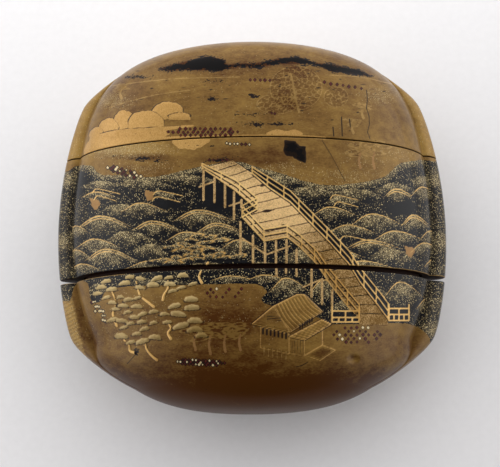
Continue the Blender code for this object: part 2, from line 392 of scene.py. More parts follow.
# %% The bores for the cord
def take(piece):
    """Selects one piece alone, for the operators that follow."""
    deselect_all()
    bpy.context.view_layer.objects.active = piece
    piece.select_set(True)


BORE_SIDES = 24
BORE_STEPS = 40
bow_centre_x = HALF_WIDTH + RIB_REACH - RIB_BOW_RADIUS
bore_path = RIB_BOW_RADIUS - CHANNEL_WALL - CHANNEL_RADIUS
bore_start = -math.asin((BOTTOM_REACH - RIB_END_INSET) / bore_path)
bore_end = math.asin((TOP_REACH - RIB_END_INSET) / bore_path)
disc_place = Vector((bow_centre_x + bore_path * math.cos(bore_start), bore_path * math.sin(bore_start), 0))
deselect_all()
bpy.ops.mesh.primitive_circle_add(
    vertices=BORE_SIDES,
    radius=CHANNEL_RADIUS * MM,
    fill_type="NGON",
    location=WAIST + disc_place * MM,
    rotation=(math.pi / 2, 0, bore_start),
)
bore_right = bpy.context.object
bpy.ops.object.transform_apply(location=True, rotation=True, scale=True)
bpy.ops.object.mode_set(mode="EDIT")
bpy.ops.mesh.select_all(action="SELECT")
bpy.ops.mesh.spin(
    steps=BORE_STEPS,
    angle=bore_end - bore_start,
    center=WAIST + Vector((bow_centre_x, 0, 0)) * MM,
    axis=(0, 0, 1),
)
bpy.ops.mesh.select_all(action="SELECT")
bpy.ops.mesh.normals_make_consistent(inside=False)
bpy.ops.object.mode_set(mode="OBJECT")
bore_left = bore_right.copy()
bore_left.data = bore_right.data.copy()
bpy.context.collection.objects.link(bore_left)
bore_left.data.transform(Matrix.Diagonal((-1, 1, 1, 1)))
bore_left.data.flip_normals()
spun = np.array([vertex.co for vertex in bore_right.data.vertices])
print("bore reaches in mm, from", np.round(spun.min(0) * 1000, 2), "to", np.round(spun.max(0) * 1000, 2))

for case in (lid, middle_case, bottom_case):
    take(case)
    for bore in (bore_right, bore_left):
        drill = case.modifiers.new("drill", "BOOLEAN")
        drill.operation = "DIFFERENCE"
        drill.solver = "EXACT"
        drill.object = bore
        bpy.ops.object.modifier_apply(modifier=drill.name)
    print(case.name, "drilled,", len(case.data.polygons), "faces")
for bore in (bore_right, bore_left):
    bpy.data.objects.remove(bore)

# %% [markdown]
# The lacquerer drew the picture on the closed case, across both seams. The same is done here: the points of all
# three cases are laid on one drawing sheet, which is the picture plane of the camera, so a px of the sheet is about
# 0.15 mm on the case. The back is turned round and gets the same land and water from the same sheet, but none of
# the things that stand in them.

# %% The drawing sheet
cases = (lid, middle_case, bottom_case)


def numbers(case, source, name, width=1):
    """One value, or a few, for each item of a case's mesh, as an array."""
    values = np.zeros(len(source) * width, np.int32 if name in ("vertex_index", "loop_start") else np.float32)
    source.foreach_get(name, values)
    return values.reshape(-1, width) if width > 1 else values


points = [numbers(case, case.data.vertices, "co", 3) for case in cases]
marks = [numbers(case, case.data.attributes["outside"].data, "value") for case in cases]
outside = np.concatenate(marks) > 0.99
case_ends = np.cumsum([len(own) for own in points])
own_points = [slice(end - len(own), end) for end, own in zip(case_ends, points)]
case_of_point = np.repeat(range(3), [len(own) for own in points])
from_waist = (np.concatenate(points).astype(float) - np.array(WAIST)) / MM
on_front = from_waist[:, 2] > -RIB_HALF_THICKNESS
turned = np.where(from_waist[:, 2:] < 0, from_waist * (-1, 1, -1), from_waist)


def to_sheet(spots):
    """Where points of the case, in mm from the waist, appear on the sheet, in px."""
    cos_roll, sin_roll = math.cos(CAMERA_ROLL), math.sin(CAMERA_ROLL)
    cos_tilt, sin_tilt = math.cos(CAMERA_TILT), math.sin(CAMERA_TILT)
    across = cos_roll * spots[:, 0] - sin_roll * spots[:, 1]
    along = sin_roll * spots[:, 0] + cos_roll * spots[:, 1]
    up = along * cos_tilt + spots[:, 2] * sin_tilt
    away = CAMERA_DISTANCE + along * sin_tilt - spots[:, 2] * cos_tilt
    return WAIST_PX[0] + FOCAL_PX * across / away, WAIST_PX[1] - FOCAL_PX * up / away


sheet_x, sheet_y = to_sheet(turned)
on_lid, on_middle, on_bottom = (case_of_point == index for index in range(3))
front_lid, front_middle, front_bottom = (on_front & piece for piece in (on_lid, on_middle, on_bottom))
print("the sheet holds", len(sheet_x), "points, x", np.round([sheet_x.min(), sheet_x.max()], 1))

# %% [markdown]
# Every stroke is kept as a distance: how far inside the stroke a point lies, in px, and minus outside. Distances
# stay straight between points, so the material can cut them off cleanly and the gold keeps crisp edges, finer than
# the points themselves. Each kind of lacquer work is one layer of such distances.

# %% Brushes
FAR = 9.0  # px beyond which a stroke no longer matters
LAYER_NAMES = (
    "gold_ground", "deck_gold", "bright_gold", "pad_gold", "gold_line", "faint_line", "dark_line",
    "pale_inlay", "red_inlay", "worn", "orange_gold",
)
layers = {name: np.full(len(sheet_x), -FAR) for name in LAYER_NAMES}
for name in ("dust", "mist", "tone"):  # amounts, not distances
    layers[name] = np.zeros(len(sheet_x))
relief = np.zeros(len(sheet_x))  # mm
rng = np.random.default_rng(7)


def stroke(path, half_width):
    """A drawn line through the points of a path, which may swell from one point to the next."""
    path = np.asarray(path, float)
    half = np.broadcast_to(half_width, len(path))
    inside = np.full(len(sheet_x), -FAR)
    for (ax, ay), (bx, by), a_half, b_half in zip(path, path[1:], half, half[1:]):
        near = (sheet_x > min(ax, bx) - FAR) & (sheet_x < max(ax, bx) + FAR)
        near &= (sheet_y > min(ay, by) - FAR) & (sheet_y < max(ay, by) + FAR)
        x, y = sheet_x[near] - ax, sheet_y[near] - ay
        length = max((bx - ax) ** 2 + (by - ay) ** 2, 1e-9)
        share = np.clip((x * (bx - ax) + y * (by - ay)) / length, 0, 1)
        gap = np.hypot(x - share * (bx - ax), y - share * (by - ay))
        inside[near] = np.maximum(inside[near], a_half + share * (b_half - a_half) - gap)
    return inside


def area(outline):
    """The inside of a closed outline."""
    closed = np.asarray([*outline, outline[0]], float)
    edge = -stroke(closed, 0.0)
    odd = np.zeros(len(sheet_x), bool)
    for (ax, ay), (bx, by) in zip(closed, closed[1:]):
        crosses = (ay > sheet_y) != (by > sheet_y)
        odd ^= crosses & (sheet_x < ax + (sheet_y - ay) * (bx - ax) / ((by - ay) or 1e-9))
    return np.where(odd, edge, -edge)


def oval(x, y, half_wide, half_high, lean=0.0):
    """An oval that rises to the right by lean, in px of height per px across."""
    drop = sheet_y - y + lean * (sheet_x - x)
    reach = np.hypot((sheet_x - x) / half_wide, drop / half_high)
    return np.clip((1 - reach) * min(half_wide, half_high), -FAR, FAR)


def flowing(anchors, steps=6):
    """A smooth curve through a few points, as a brush draws it."""
    anchors = np.asarray(anchors, float)
    held = np.concatenate([[2 * anchors[0] - anchors[1]], anchors, [2 * anchors[-1] - anchors[-2]]])
    t = np.linspace(0, 1, steps, endpoint=False)[:, None]
    curve = []
    for before, start, end, after in zip(held, held[1:], held[2:], held[3:]):
        bend = 2 * before - 5 * start + 4 * end - after
        twist = 3 * start - before - 3 * end + after
        curve.append(start + 0.5 * t * (end - before + t * (bend + t * twist)))
    return np.concatenate([*curve, anchors[-1:]])


def lay(name, inside, where=True):
    """Paints on a layer, over what is there."""
    layers[name] = np.maximum(layers[name], np.where(where, inside, -FAR))


def cover(names, inside, where=True):
    """Hides what was painted on some layers under a new shape."""
    for name in names:
        layers[name] = np.where(where, np.minimum(layers[name], -inside), layers[name])


def dust_to(amount, where):
    """Sets how much gold dust lies on the water: 0 for none, to 1 for all grains."""
    layers["dust"] = np.where(where, amount, layers["dust"])


def tone_by(amount, where):
    """Makes the gold lighter by an amount, or darker by a minus amount."""
    layers["tone"] += np.where(where, amount, 0)


def raise_by(height, inside, edge=1.2, where=True):
    """Builds up a shape in relief: full height once it is edge px inside its outline."""
    global relief
    swell = np.clip(inside / edge, 0, 1)
    relief = np.maximum(relief, np.where(where, height * swell * (2 - swell), 0))


print(len(layers), "layers on the sheet")


# %% [markdown]
# The land is gold ground, laid thickly and polished flush with the black, so it is colour alone. It takes in the
# whole lid, a bank under the upper seam, and the shore on the bottom case.

# %% Land and water
FAR_SHORE = flowing([
    (30, 173), (58, 172), (68, 171), (74, 167), (80, 165.5), (92, 166), (97, 172), (104, 175), (120, 175),
    (140, 177), (160, 176), (181, 171), (201, 166.5), (220, 163), (240, 162), (254, 166), (268, 170), (282, 173.5),
    (296, 178.5), (306, 181.5), (331, 185.5), (359, 182.5), (380, 178.5), (391, 171.5), (398, 164.5), (408, 161.7),
    (421, 160), (436, 161.5), (475, 166),
])
NEAR_SHORE = flowing([
    (30, 302), (61, 301), (70, 300), (74, 288), (80, 281), (88, 284), (90, 297), (94, 303), (100, 301),
    (105, 292), (112, 288.5), (127, 286.5), (150, 285.5), (175, 285), (201, 284.5), (225, 284), (240, 283.8),
    (254, 284.3), (262, 286.5), (266.7, 291.6), (264, 296), (261.5, 299), (264, 303), (271, 305.6), (285, 309),
    (300, 312), (322, 319), (331, 323.8), (360, 323.8), (387, 323.1), (408, 323.8), (421, 329.4), (429, 337),
    (432, 344), (445, 348), (475, 352),
])
far_land = area([*FAR_SHORE, (475, 60), (30, 60)])
near_land = area([*NEAR_SHORE, (475, 480), (30, 480)])
land = np.select([on_lid, on_middle], [np.full(len(sheet_x), FAR), far_land], near_land)
lay("gold_ground", land)
water = (land < 0) & outside
print("share of the outside that is water:", round(float(water.sum() / outside.sum()), 2))

# %% [markdown]
# The water is black lacquer with swells in sprinkled gold: each has a thin gold crest line, and gold dust that is
# thickest at the crest and thins out below. A swell is steeper on its left side. A nearer one hides what is behind
# it, so they are painted from the far shore down. Dust also lies thick along the far shore, and some pools are left
# clear black.

# %% Where the swells stand
SWELLS = [
    # middle x, crest y, half width, height, lines
    (100, 181, 30, 7, 0), (138, 179, 34, 8, 0), (186, 175, 32, 7, 0), (272, 176, 30, 8, 0), (306, 187, 34, 9, 0),
    (352, 189, 36, 8, 0), (392, 183, 26, 9, 0), (421, 176, 18, 9, 0), (158, 192, 20, 5, 0), (96, 192, 20, 6, 1),
    (118, 204, 26, 9, 0), (140, 203, 26, 10, 1), (340, 196, 22, 8, 0), (396, 189, 17, 9, 2), (422, 187, 15, 10, 1),
    (198, 210, 34, 12, 2), (330, 207, 24, 9, 1), (100, 216, 31, 13, 2), (372, 214, 30, 13, 1), (413, 215, 16, 12, 2),
    (152, 221, 27, 10, 2), (216, 223, 26, 10, 2), (76, 226, 13, 9, 1), (347, 225, 27, 9, 1), (126, 231, 30, 11, 0),
    (186, 232, 28, 10, 1), (430, 231, 14, 10, 1), (394, 231, 28, 10, 1), (94, 239, 25, 10, 1), (238, 240, 22, 9, 1),
    (368, 240, 30, 9, 2), (150, 244, 31, 10, 0), (206, 246, 30, 9, 0), (424, 243, 18, 10, 1), (76, 250, 14, 9, 1),
    (106, 249, 29, 13, 2), (340, 250, 22, 8, 2), (388, 248, 30, 13, 0), (434, 259, 14, 9, 1), (150, 261, 32, 8, 1),
    (205, 262, 30, 7, 0), (362, 261, 30, 8, 1), (300, 250, 30, 12, 0), (262, 262, 26, 6, 0), (82, 264, 18, 7, 1),
    (230, 276, 26, 5, 1), (264, 275, 24, 6, 1), (286, 278, 22, 15, 1), (323, 280, 19, 15, 1), (372, 288, 22, 10, 0),
    (400, 282, 22, 17, 1), (428, 298, 16, 12, 1), (345, 300, 22, 10, 0), (434, 318, 12, 12, 1), (96, 284, 16, 8, 0),
    (150, 279, 40, 5, 0),
]
POOLS = [
    # middle x, middle y, half width, half height
    (222, 196, 27, 19), (205, 182, 30, 8), (401, 208, 17, 8), (76, 184, 14, 13), (150, 190, 26, 4),
    (168, 204, 18, 5), (95, 292, 7, 10), (246, 245, 12, 13), (322, 197, 9, 4), (150, 236, 30, 3),
    (340, 236, 20, 3),
]
RIPPLES = [
    # left x, y, length
    (153, 191, 30), (152, 197, 28), (330, 195, 28), (334, 202, 24), (92, 189, 28), (94, 196, 22), (340, 236, 30),
]
print(len(SWELLS), "swells,", len(RIPPLES), "ripples and", len(POOLS), "clear pools")

# %% The water
CREST_HALF = 0.46  # px, about 0.14 mm of line
CREST_GAP = 2.6  # px from one line of a swell down to the next
SWELL_FULLNESS = 1.3
SWELL_SIDES = (0.8, 1.2)  # shares of the half width on the left and on the right of the crest
FOOT_SHARE = 0.9  # how far below its feet the dust of a swell reaches in the middle, in heights
OPEN_DUST = 0.18
SHORE_DUST = 0.8
SHORE_DUST_REACH = 8.5  # px
PATCH_WAVES = (0.31, 0.37)  # how fast the dust on a swell varies, across and down
PATCH_AMOUNTS = (0.71, 0.30)  # the mean and how much it varies
HEAP = (0.10, 1.08, 1.4)  # least dust, how much more at the crest, and how fast it thins out below


def swell_rise(across):
    """Height of a swell at shares of its half width, from 1 at the crest to 0 at its feet."""
    return np.cos(np.clip(across, -1, 1) * math.pi / 2) ** SWELL_FULLNESS


def clear(x, y, half_wide, half_high):
    """Wipes the dust off the water in an oval, with a soft rim."""
    reach = np.hypot((sheet_x - x) / half_wide, (sheet_y - y) / half_high)
    layers["dust"] = layers["dust"] * np.clip((reach - 0.75) / 0.4, 0, 1)


along_shore = np.where(on_middle, SHORE_DUST * np.clip(1 + far_land / SHORE_DUST_REACH, 0, 1), 0)
layers["dust"] = np.where(water, np.maximum(OPEN_DUST, along_shore), 0.0)
for pool in POOLS:
    clear(*pool)
for x, crest_y, half_wide, height, lines in SWELLS:
    across = (sheet_x - x) / half_wide
    across = across / np.where(across < 0, *SWELL_SIDES)
    bell = np.where(np.abs(across) < 1, swell_rise(across), 0.0)
    crest = crest_y + height * (1 - bell)
    foot = crest_y + height * (1 + FOOT_SHARE * bell)
    inside = (np.abs(across) < 1) & (sheet_y > crest) & (sheet_y < foot) & water
    depth = np.clip((sheet_y - crest) / np.maximum(foot - crest, 1), 0, 1)
    wave = np.sin(sheet_x * PATCH_WAVES[0] + crest_y) * np.sin(sheet_y * PATCH_WAVES[1] + x)
    patchy = PATCH_AMOUNTS[0] + PATCH_AMOUNTS[1] * wave
    dust_to(patchy * (HEAP[0] + HEAP[1] * (1 - depth) ** HEAP[2] * (0.3 + 0.7 * bell)), inside)
    cover(["gold_line"], np.where(inside, 1.0, -FAR))
    for line in range(lines):
        span = np.linspace(-1 + 0.35 * line, 0.95 - 0.12 * line, 15)
        curve = crest_y + height * (1 - swell_rise(span)) + CREST_GAP * line
        path_x = x + span * half_wide * np.where(span < 0, *SWELL_SIDES)
        taper = CREST_HALF * (1.1 - span**2) - 0.04 * line
        lay("gold_line", stroke(np.column_stack([path_x, curve]), taper), water)
for x, y, length in RIPPLES:
    ripple = flowing([(x, y + 4), (x + 0.15 * length, y), (x + 0.5 * length, y + 1.5), (x + length, y + 5)], 5)
    lay("gold_line", stroke(ripple, CREST_HALF), water)
print("points with dust on them:", int((layers["dust"] > OPEN_DUST).sum()))

# %% [markdown]
# On the lid, banks of cloud lie over the land in thick bright gold, as rounded lobes with a dark rim between them.
# They were built up a little before they were gilded, so they are also in low relief.

# %% Clouds
CLOUD_LOBES = [
    # middle x, middle y, half width, half height, how far down it reaches
    (168, 112, 16, 10.5, 119), (180, 117, 11, 4.5, 120), (124, 119.5, 10, 9.5, 132), (109, 128, 10, 10, 138),
    (97, 136, 8, 9, 150), (146, 123, 18, 12.5, 130),
]
CLOUD_BANK = flowing([
    (84, 150), (88, 142), (100, 134), (120, 129.5), (150, 127.5), (188, 125), (193, 126.5), (176, 129), (166, 131),
    (170, 134), (164, 137), (176, 139), (150, 142), (110, 150), (84, 168),
], 4)
CLOUD_RELIEF = 0.07
CLOUD_EDGE = 3.0  # px over which a cloud rises
CLOUD_RIM = 0.35


def wavering(inside, x, y, by=0.3):
    """The same shape with an edge that wavers as a hand-drawn one does."""
    turn = np.arctan2(sheet_y - y, sheet_x - x)
    return inside + by * (np.sin(5 * turn + x) + 0.6 * np.sin(11 * turn + y))


for x, y, half_wide, half_high, foot in CLOUD_LOBES:
    below = np.minimum(half_wide - np.abs(sheet_x - x), foot - sheet_y)
    lobe = wavering(np.where(sheet_y < y, oval(x, y, half_wide, half_high), below), x, y)
    lobe = np.clip(lobe, -FAR, FAR)
    cover(["dark_line"], lobe, front_lid)
    lay("bright_gold", lobe, front_lid)
    lay("dark_line", CLOUD_RIM - np.abs(lobe), front_lid & (sheet_y < foot - 1))
    raise_by(CLOUD_RELIEF, lobe, CLOUD_EDGE, front_lid)
bank = area(CLOUD_BANK)
cover(["dark_line"], bank, front_lid)
lay("bright_gold", bank, front_lid)
lay("dark_line", stroke(CLOUD_BANK[8:20], CLOUD_RIM), front_lid)
hanging_cloud = np.where(sheet_y > 139, wavering(oval(190, 139.5, 18.5, 10), 190, 139, 0.6), -FAR)
lay("bright_gold", hanging_cloud, front_middle)
SLIVER = [(266, 133), (276, 129.5), (287, 131), (295, 129.5), (303, 134.5), (288, 137), (268, 136)]
lay("bright_gold", area(flowing(SLIVER, 4)), front_lid)
seam_gold = stroke(flowing([(162, 138), (200, 137), (250, 136), (300, 136.5), (325, 138)]), 1.3)
lay("bright_gold", seam_gold, on_front)
print("bright gold on the lid:", int((layers["bright_gold"] > 0).sum()), "points")

# %% [markdown]
# The bridge is a plain plank bridge that crosses the water in one long slant, with two short side steps on its
# left side. The deck is gold with dark joints and a few knots, lightest in its far half and darker towards us. Each
# railing is three bright lines held by posts, with a thin painted shadow under each rail where it lies on the deck.
# It stands up from the deck's edge, and grows a little taller towards us. The piles run down into the water.

# %% The bridge
DECK_LEFT = [
    (202, 168), (220, 180), (236, 191), (257, 209), (242, 217), (264, 241), (287, 237), (300, 247), (316, 263),
    (330, 284), (345, 303), (359, 320), (359, 325),
]
DECK_RIGHT = [
    (233, 160.5), (252, 173), (270, 188), (290, 201.5), (310, 222), (330, 242.5), (349, 264), (360, 282),
    (380, 308), (388, 319), (388, 325),
]
LEFT_RAILINGS = ((0, 4), (3, 5), (4, 6), (5, 7), (6, 12))  # stretches of the left edge, by their points
RAIL_HEIGHTS = (0.0, 6.2, 12.4)
RAIL_GROWTH = ((167, 190, 245, 308), (0.35, 0.85, 0.95, 1.25))  # heights on the sheet, and how tall rails are there
RAIL_HALF = 0.62
RAIL_RELIEF = 0.06
POST_HALF = 0.5
POST_SPACING = 20.0
PLANKS = 19
PLANK_MIDDLES = ((0, 0.3, 1), (222, 265, 374), (165, 203, 318))  # shares of the deck's length, x and y there
PLANK_SLANTS = ((0, 0.7, 1), (-0.32, -0.16, 0.0))
PLANK_REACH = 34
DECK_RELIEF = 0.04
KNOTS = [(267, 211, 4.4, 1.5), (262, 186, 2.2, 0.9), (346, 291, 2.6, 1.0), (283, 225, 1.8, 0.8)]
DECK_TONES = ((165, 180, 200, 225, 250, 320), (0.1, 0.6, 1.0, 0.5, -0.6, -0.75))  # heights, and tones there
deck = area([*DECK_LEFT, *DECK_RIGHT[::-1]])
deck_here = on_front & ~on_lid & outside


def evenly_along(path, spacing):
    """Spots on a path, about a spacing apart, from one end to the other."""
    path = np.asarray(path, float)
    along = np.concatenate([[0], np.cumsum(np.hypot(*np.diff(path, axis=0).T))])
    count = max(round(along[-1] / spacing), 1)
    stops = np.linspace(0, along[-1], count + 1)
    return np.column_stack([np.interp(stops, along, path[:, axis]) for axis in (0, 1)])


def raised_path(path, rise):
    """A path moved up the sheet by a rise, as much as the railings have grown there."""
    path = np.asarray(path, float)
    return path - np.column_stack([np.zeros(len(path)), rise * np.interp(path[:, 1], *RAIL_GROWTH)])


def railing(path, over_water):
    """Rails over the deck's edge, with painted shadow or open water between them, and the posts that hold them."""
    path = np.asarray(path, float)
    strip = area([*path, *raised_path(path, RAIL_HEIGHTS[-1])[::-1]])
    if over_water:
        cover(["gold_line", "gold_ground"], strip, deck_here & (sheet_x > 256))
        dust_to(0, deck_here & (strip > -0.3))
    for rise in RAIL_HEIGHTS:
        rail = stroke(raised_path(path, rise), RAIL_HALF)
        # Painted shadow: a dark line just under each rail, where it lies on the deck.
        lay("dark_line", stroke(raised_path(path, rise) + (0, 1.6), 0.7), deck_here & (deck > -1))
        lay("gold_line", rail, deck_here)
        raise_by(RAIL_RELIEF, rail + 0.3, 0.6, deck_here)
    for x, y in evenly_along(path, POST_SPACING):
        top = raised_path([(x, y)], RAIL_HEIGHTS[-1])[0]
        post = stroke([(x, y + 0.8), top - (0, 0.8)], POST_HALF)
        lay("gold_line", post, deck_here)
        raise_by(RAIL_RELIEF, post + 0.3, 0.6, deck_here)


cover(["gold_line"], deck, deck_here)
dust_to(0, deck_here & (deck > 0))
tone_by(np.interp(sheet_y, *DECK_TONES), deck_here & (deck > 0))
lay("deck_gold", deck - 0.2, deck_here)
raise_by(DECK_RELIEF, deck, 1.0, deck_here)
for plank in range(PLANKS):
    share = (plank + 0.5) / PLANKS
    middle_x, middle_y = (np.interp(share, PLANK_MIDDLES[0], places) for places in PLANK_MIDDLES[1:])
    across = np.linspace(-PLANK_REACH, PLANK_REACH, 10)
    along = middle_y + np.interp(share, *PLANK_SLANTS) * across + rng.normal(0, 0.3, 10)
    lay("dark_line", np.minimum(stroke(np.column_stack([middle_x + across, along]), 0.5), deck - 0.8), deck_here)
for x, y, half_wide, half_high in KNOTS:
    lay("dark_line", oval(x, y, half_wide, half_high, 0.1), deck_here)
railing(DECK_RIGHT[1:10], True)
for first, last in LEFT_RAILINGS:
    railing(DECK_LEFT[first:last], False)

# %% Piles and landing fences
PILES = [
    # x, top, foot
    (203.5, 170, 200), (214.5, 178, 202), (225, 184, 207), (234, 192, 219), (241.5, 200, 207), (240.5, 222, 254),
    (253, 236, 263), (265, 243, 263), (276, 241, 263), (286.5, 240, 263), (296.5, 250, 276), (286, 268, 273),
    (276.5, 268, 276), (311.5, 268, 297), (322, 279, 304), (332, 290, 322),
]
BEAMS = [
    (199, 187, 213, 182), (229, 206, 241, 202), (242, 238, 265, 254), (265, 255, 290, 246), (303, 287, 320, 280),
]
LANDING_FENCES = [
    # left x, right x, the heights of the three rails
    (332, 359, (311, 317.5, 322)), (389, 409, (308.5, 314.5, 320.5)),
]
PILE_HALF = 1.15
BEAM_HALF = 0.8
BAR_HALF = 0.75
FENCE_POST_RISE = 4  # px that the end posts stand above the top rail
under_deck = deck_here & (deck < 0)
for x, top, foot in PILES:
    pile = stroke([(x, top), (x, foot)], PILE_HALF)
    cover(["gold_line"], pile, under_deck)
    lay("deck_gold", pile, under_deck)
    raise_by(DECK_RELIEF, pile, 1.0, under_deck)
for start_x, start_y, end_x, end_y in BEAMS:
    lay("deck_gold", stroke([(start_x, start_y), (end_x, end_y)], BEAM_HALF), under_deck)
for left, right, rails in LANDING_FENCES:
    beside = np.minimum(sheet_x - left, right - sheet_x)
    opening = np.minimum(beside, np.minimum(sheet_y - rails[0], rails[2] - sheet_y))
    cover(["gold_line", "deck_gold"], opening, under_deck)
    dust_to(0, deck_here & (opening > 0))
    posts = [(x, rails[0] - FENCE_POST_RISE) for x in (left, right)]
    posts += [((left + right) / 2, rails[0])]
    posts += [(left + share * (right - left), rails[1]) for share in (0.25, 0.75)]
    bars = [stroke([(left, y), (right, y)], BAR_HALF) for y in rails]
    bars += [stroke([(x, top), (x, rails[2])], BAR_HALF) for x, top in posts]
    lay("gold_line", np.maximum.reduce(bars), deck_here)
print(len(PILES), "piles,", len(BEAMS), "beams and", len(LANDING_FENCES), "fences")

# %% [markdown]
# The hut on the near shore is in low relief: a hipped roof with a small gable, a lean-to, walls with slit windows,
# and a landing stage. It is the same gold as the ground round it, so its roofs are only a little lighter, and its
# edges and tile rows are drawn in a muted gold. Roofs are raised most.

# %% The hut
near_front = front_bottom & outside
ROOF_RIGHT = [(273, 306.5), (297, 294.4), (305, 294.4), (322.5, 311.5), (290, 332.2)]
ROOF_FRONT = [(273, 306.5), (290, 332.2), (252, 324)]
LEAN_TO = [(289.5, 336.5), (322.5, 319.3), (331.5, 323.8), (304.5, 340)]
FRONT_WALL = [(260.5, 327), (289, 334), (289, 354), (260.5, 348)]
SIDE_WALL = [(289, 336), (304.5, 340), (304.5, 356), (289, 353)]
FAR_WALL = [(304.5, 340), (322.5, 328), (322.5, 345), (304.5, 356)]
STAGE = [(304.5, 355), (322, 345), (335.5, 350), (320, 360.5)]
ROOF_RELIEF = 0.14
WALL_RELIEF = 0.05
TILE_ROWS = 10
WALL_TONE = 0.06
ROOF_TONE = 0.16
STAGE_TONE = -0.3
OUTLINE_HALF = 0.42
ROW_HALF = 0.48
LEAN_ROW_HALF = 0.4
OPENINGS = [
    # layer, first x, last x, how many, top of the first, how much each px across drops it, height, half width
    ("dark_line", 263, 286, 7, 329.2, 0.2, 4.5, 1.0), ("dark_line", 300, 312, 6, 325.38, -0.62, 3.5, 0.8),
    ("dark_line", 292, 303, 5, 341, 0.0, 12, 0.3), ("faint_line", 264, 286, 6, 346.8, 0.2, 9, 0.4),
]
roof_shapes = (ROOF_RIGHT, ROOF_FRONT, LEAN_TO)
hut_shapes = (*roof_shapes, FRONT_WALL, SIDE_WALL, FAR_WALL, STAGE)
roofs = np.maximum.reduce([area(shape) for shape in roof_shapes])
hut = np.maximum.reduce([area(shape) for shape in hut_shapes])


def part_way(start, end, share):
    """A spot at a share of the way from one to another."""
    return np.array(start) + share * (np.array(end) - start)


cover(["gold_line"], hut, near_front)
dust_to(0, near_front & (hut > 0))
lay("gold_ground", hut, near_front)
# Painted shadow: a thin dark line round the roofs stands in for the shade under the eaves.
lay("dark_line", 0.4 - np.abs(roofs + 0.9), near_front)
raise_by(WALL_RELIEF, hut, 0.8, near_front)
raise_by(ROOF_RELIEF, roofs, 1.0, near_front)
tone_by(np.where(roofs < 0, WALL_TONE, ROOF_TONE), near_front & (hut > 0))
tone_by(STAGE_TONE, near_front & (area(STAGE) > 2))
for shape in hut_shapes:
    lay("bright_gold", stroke([*shape, shape[0]], OUTLINE_HALF), near_front)
for share in np.linspace(0.06, 0.95, TILE_ROWS):
    top = part_way(ROOF_RIGHT[0], ROOF_RIGHT[2], share)
    eave = part_way(ROOF_RIGHT[4], ROOF_RIGHT[3], share)
    row = flowing([top, (top + eave) / 2 + (-1.2, 1.4), eave], 4)
    lay("dark_line", stroke(row + (1.5, -0.4), 0.3), near_front)
    lay("bright_gold", stroke(row, ROW_HALF), near_front)
    lean_row = np.array([part_way(LEAN_TO[0], LEAN_TO[1], share), part_way(LEAN_TO[3], LEAN_TO[2], share)])
    lay("dark_line", stroke(lean_row + (1.4, -0.3), 0.25), near_front)
    lay("bright_gold", stroke(lean_row, LEAN_ROW_HALF), near_front)
for name, first, last, count, first_top, drop, tall, half in OPENINGS:
    for x in np.linspace(first, last, count):
        top = first_top + drop * (x - first)
        lay(name, stroke([(x, top), (x, top + tall)], half), near_front)
for share in (0.3, 0.5, 0.7):
    lattice = np.array([(265, 319.5), (279, 320.5)]) - (0, 9 * (share - 0.3))
    lay("dark_line", stroke(lattice + (2, 0), 0.4), near_front)
print("hut in relief, up to", ROOF_RELIEF, "mm")

# %% [markdown]
# The pines are the highest relief: each pad of needles is a small cushion of gold lacquer, flat below and rounded
# above, and the trunks are raised ropes. Pads are thrown down at random inside the crown of each tree, and one that
# would land too close to another is left out, which spaces them as unevenly as a hand does. A thin dark line under
# each pad and beside each trunk is painted shadow.

# %% Where the pines stand
TREES = [
    # middle x and y of the crown, its half width and half height, and how much wider its pads are
    (104, 290, 8, 11, 0.95), (142, 283, 18, 9, 1.05), (178, 283, 20, 9, 1.05), (126, 304, 14, 9, 0.9),
    (186, 308, 18, 9, 1.3), (152, 318, 18, 9, 0.9), (124, 320, 12, 8, 0.95), (186, 326, 14, 6, 1.3),
    (136, 335, 22, 9, 1.1), (201, 336, 3, 1, 1.1),
]
TRUNKS = [
    [(136, 281), (140, 295), (149, 303), (154, 307)], [(168, 277), (168, 288), (164, 295), (163, 300)],
    [(111, 289), (116, 303), (113, 314), (117, 326)], [(167, 322), (171, 328), (168, 333), (171, 339)],
    [(124, 340), (129, 345), (130, 351), (135, 353)], [(145, 342), (147, 350), (153, 357), (157, 360)],
    [(201, 271), (199, 277), (202, 283)], [(196, 247), (204, 255), (208, 262), (204, 268)],
]
CLUMP_OVER_WATER = [(204, 240, 16, 4), (190, 249, 26, 4), (203, 258, 36, 3.5), (178, 262, 20, 2)]
LOWER_SEAM_PX = 260  # trunks that start above it stand on the middle case
over_water = front_middle & outside & (deck < -1)
print(len(TREES), "crowns and", len(TRUNKS), "trunks")

# %% Pads and trunks
PAD_RELIEF = 0.15
TRUNK_RELIEF = 0.12
PAD_THROWS = 160
PAD_HALF = 5.2
PAD_GAP = np.array((9.6, 6.2))  # px between two pads, across and down
CLUMP_GAP = (10.5, 4.0)
NEEDLES_HALF = 2.3  # half the height of a tuft over the water


def pad(x, y, half_wide, half_high, lean):
    """One pad of needles: domed above, flat below, with a thin painted shadow under it."""
    floor_line = y + 0.4 * half_high - lean * (sheet_x - x) - sheet_y
    shape = np.minimum(oval(x, y, half_wide, half_high, lean), floor_line)
    shape = np.clip(wavering(shape, x, y, 0.25), -FAR, FAR)
    cover(["gold_line"], shape + 0.8, near_front)
    cover(["pad_gold"], shape + 0.5, near_front)
    shadow = np.minimum(0.55 - np.abs(shape + 0.5), 0.1)
    lay("dark_line", shadow, near_front & (sheet_y > y - lean * (sheet_x - x)))
    cover(["dark_line"], shape, near_front)
    lay("pad_gold", shape, near_front)
    raise_by(PAD_RELIEF, shape, 2.0, near_front)


def throw_pads(x, y, half_wide, half_high, taken, gap):
    """Spots for pads in an oval, none too near one that is taken already."""
    for throw in range(PAD_THROWS):
        turn, reach = rng.uniform(0, math.tau), math.sqrt(rng.random())
        spot = (x + half_wide * reach * math.cos(turn), y + half_high * reach * math.sin(turn))
        if all(math.hypot((spot[0] - a) / gap[0], (spot[1] - b) / gap[1]) > 1 for a, b, size in taken):
            taken.append((*spot, rng.uniform(0.8, 1.2)))


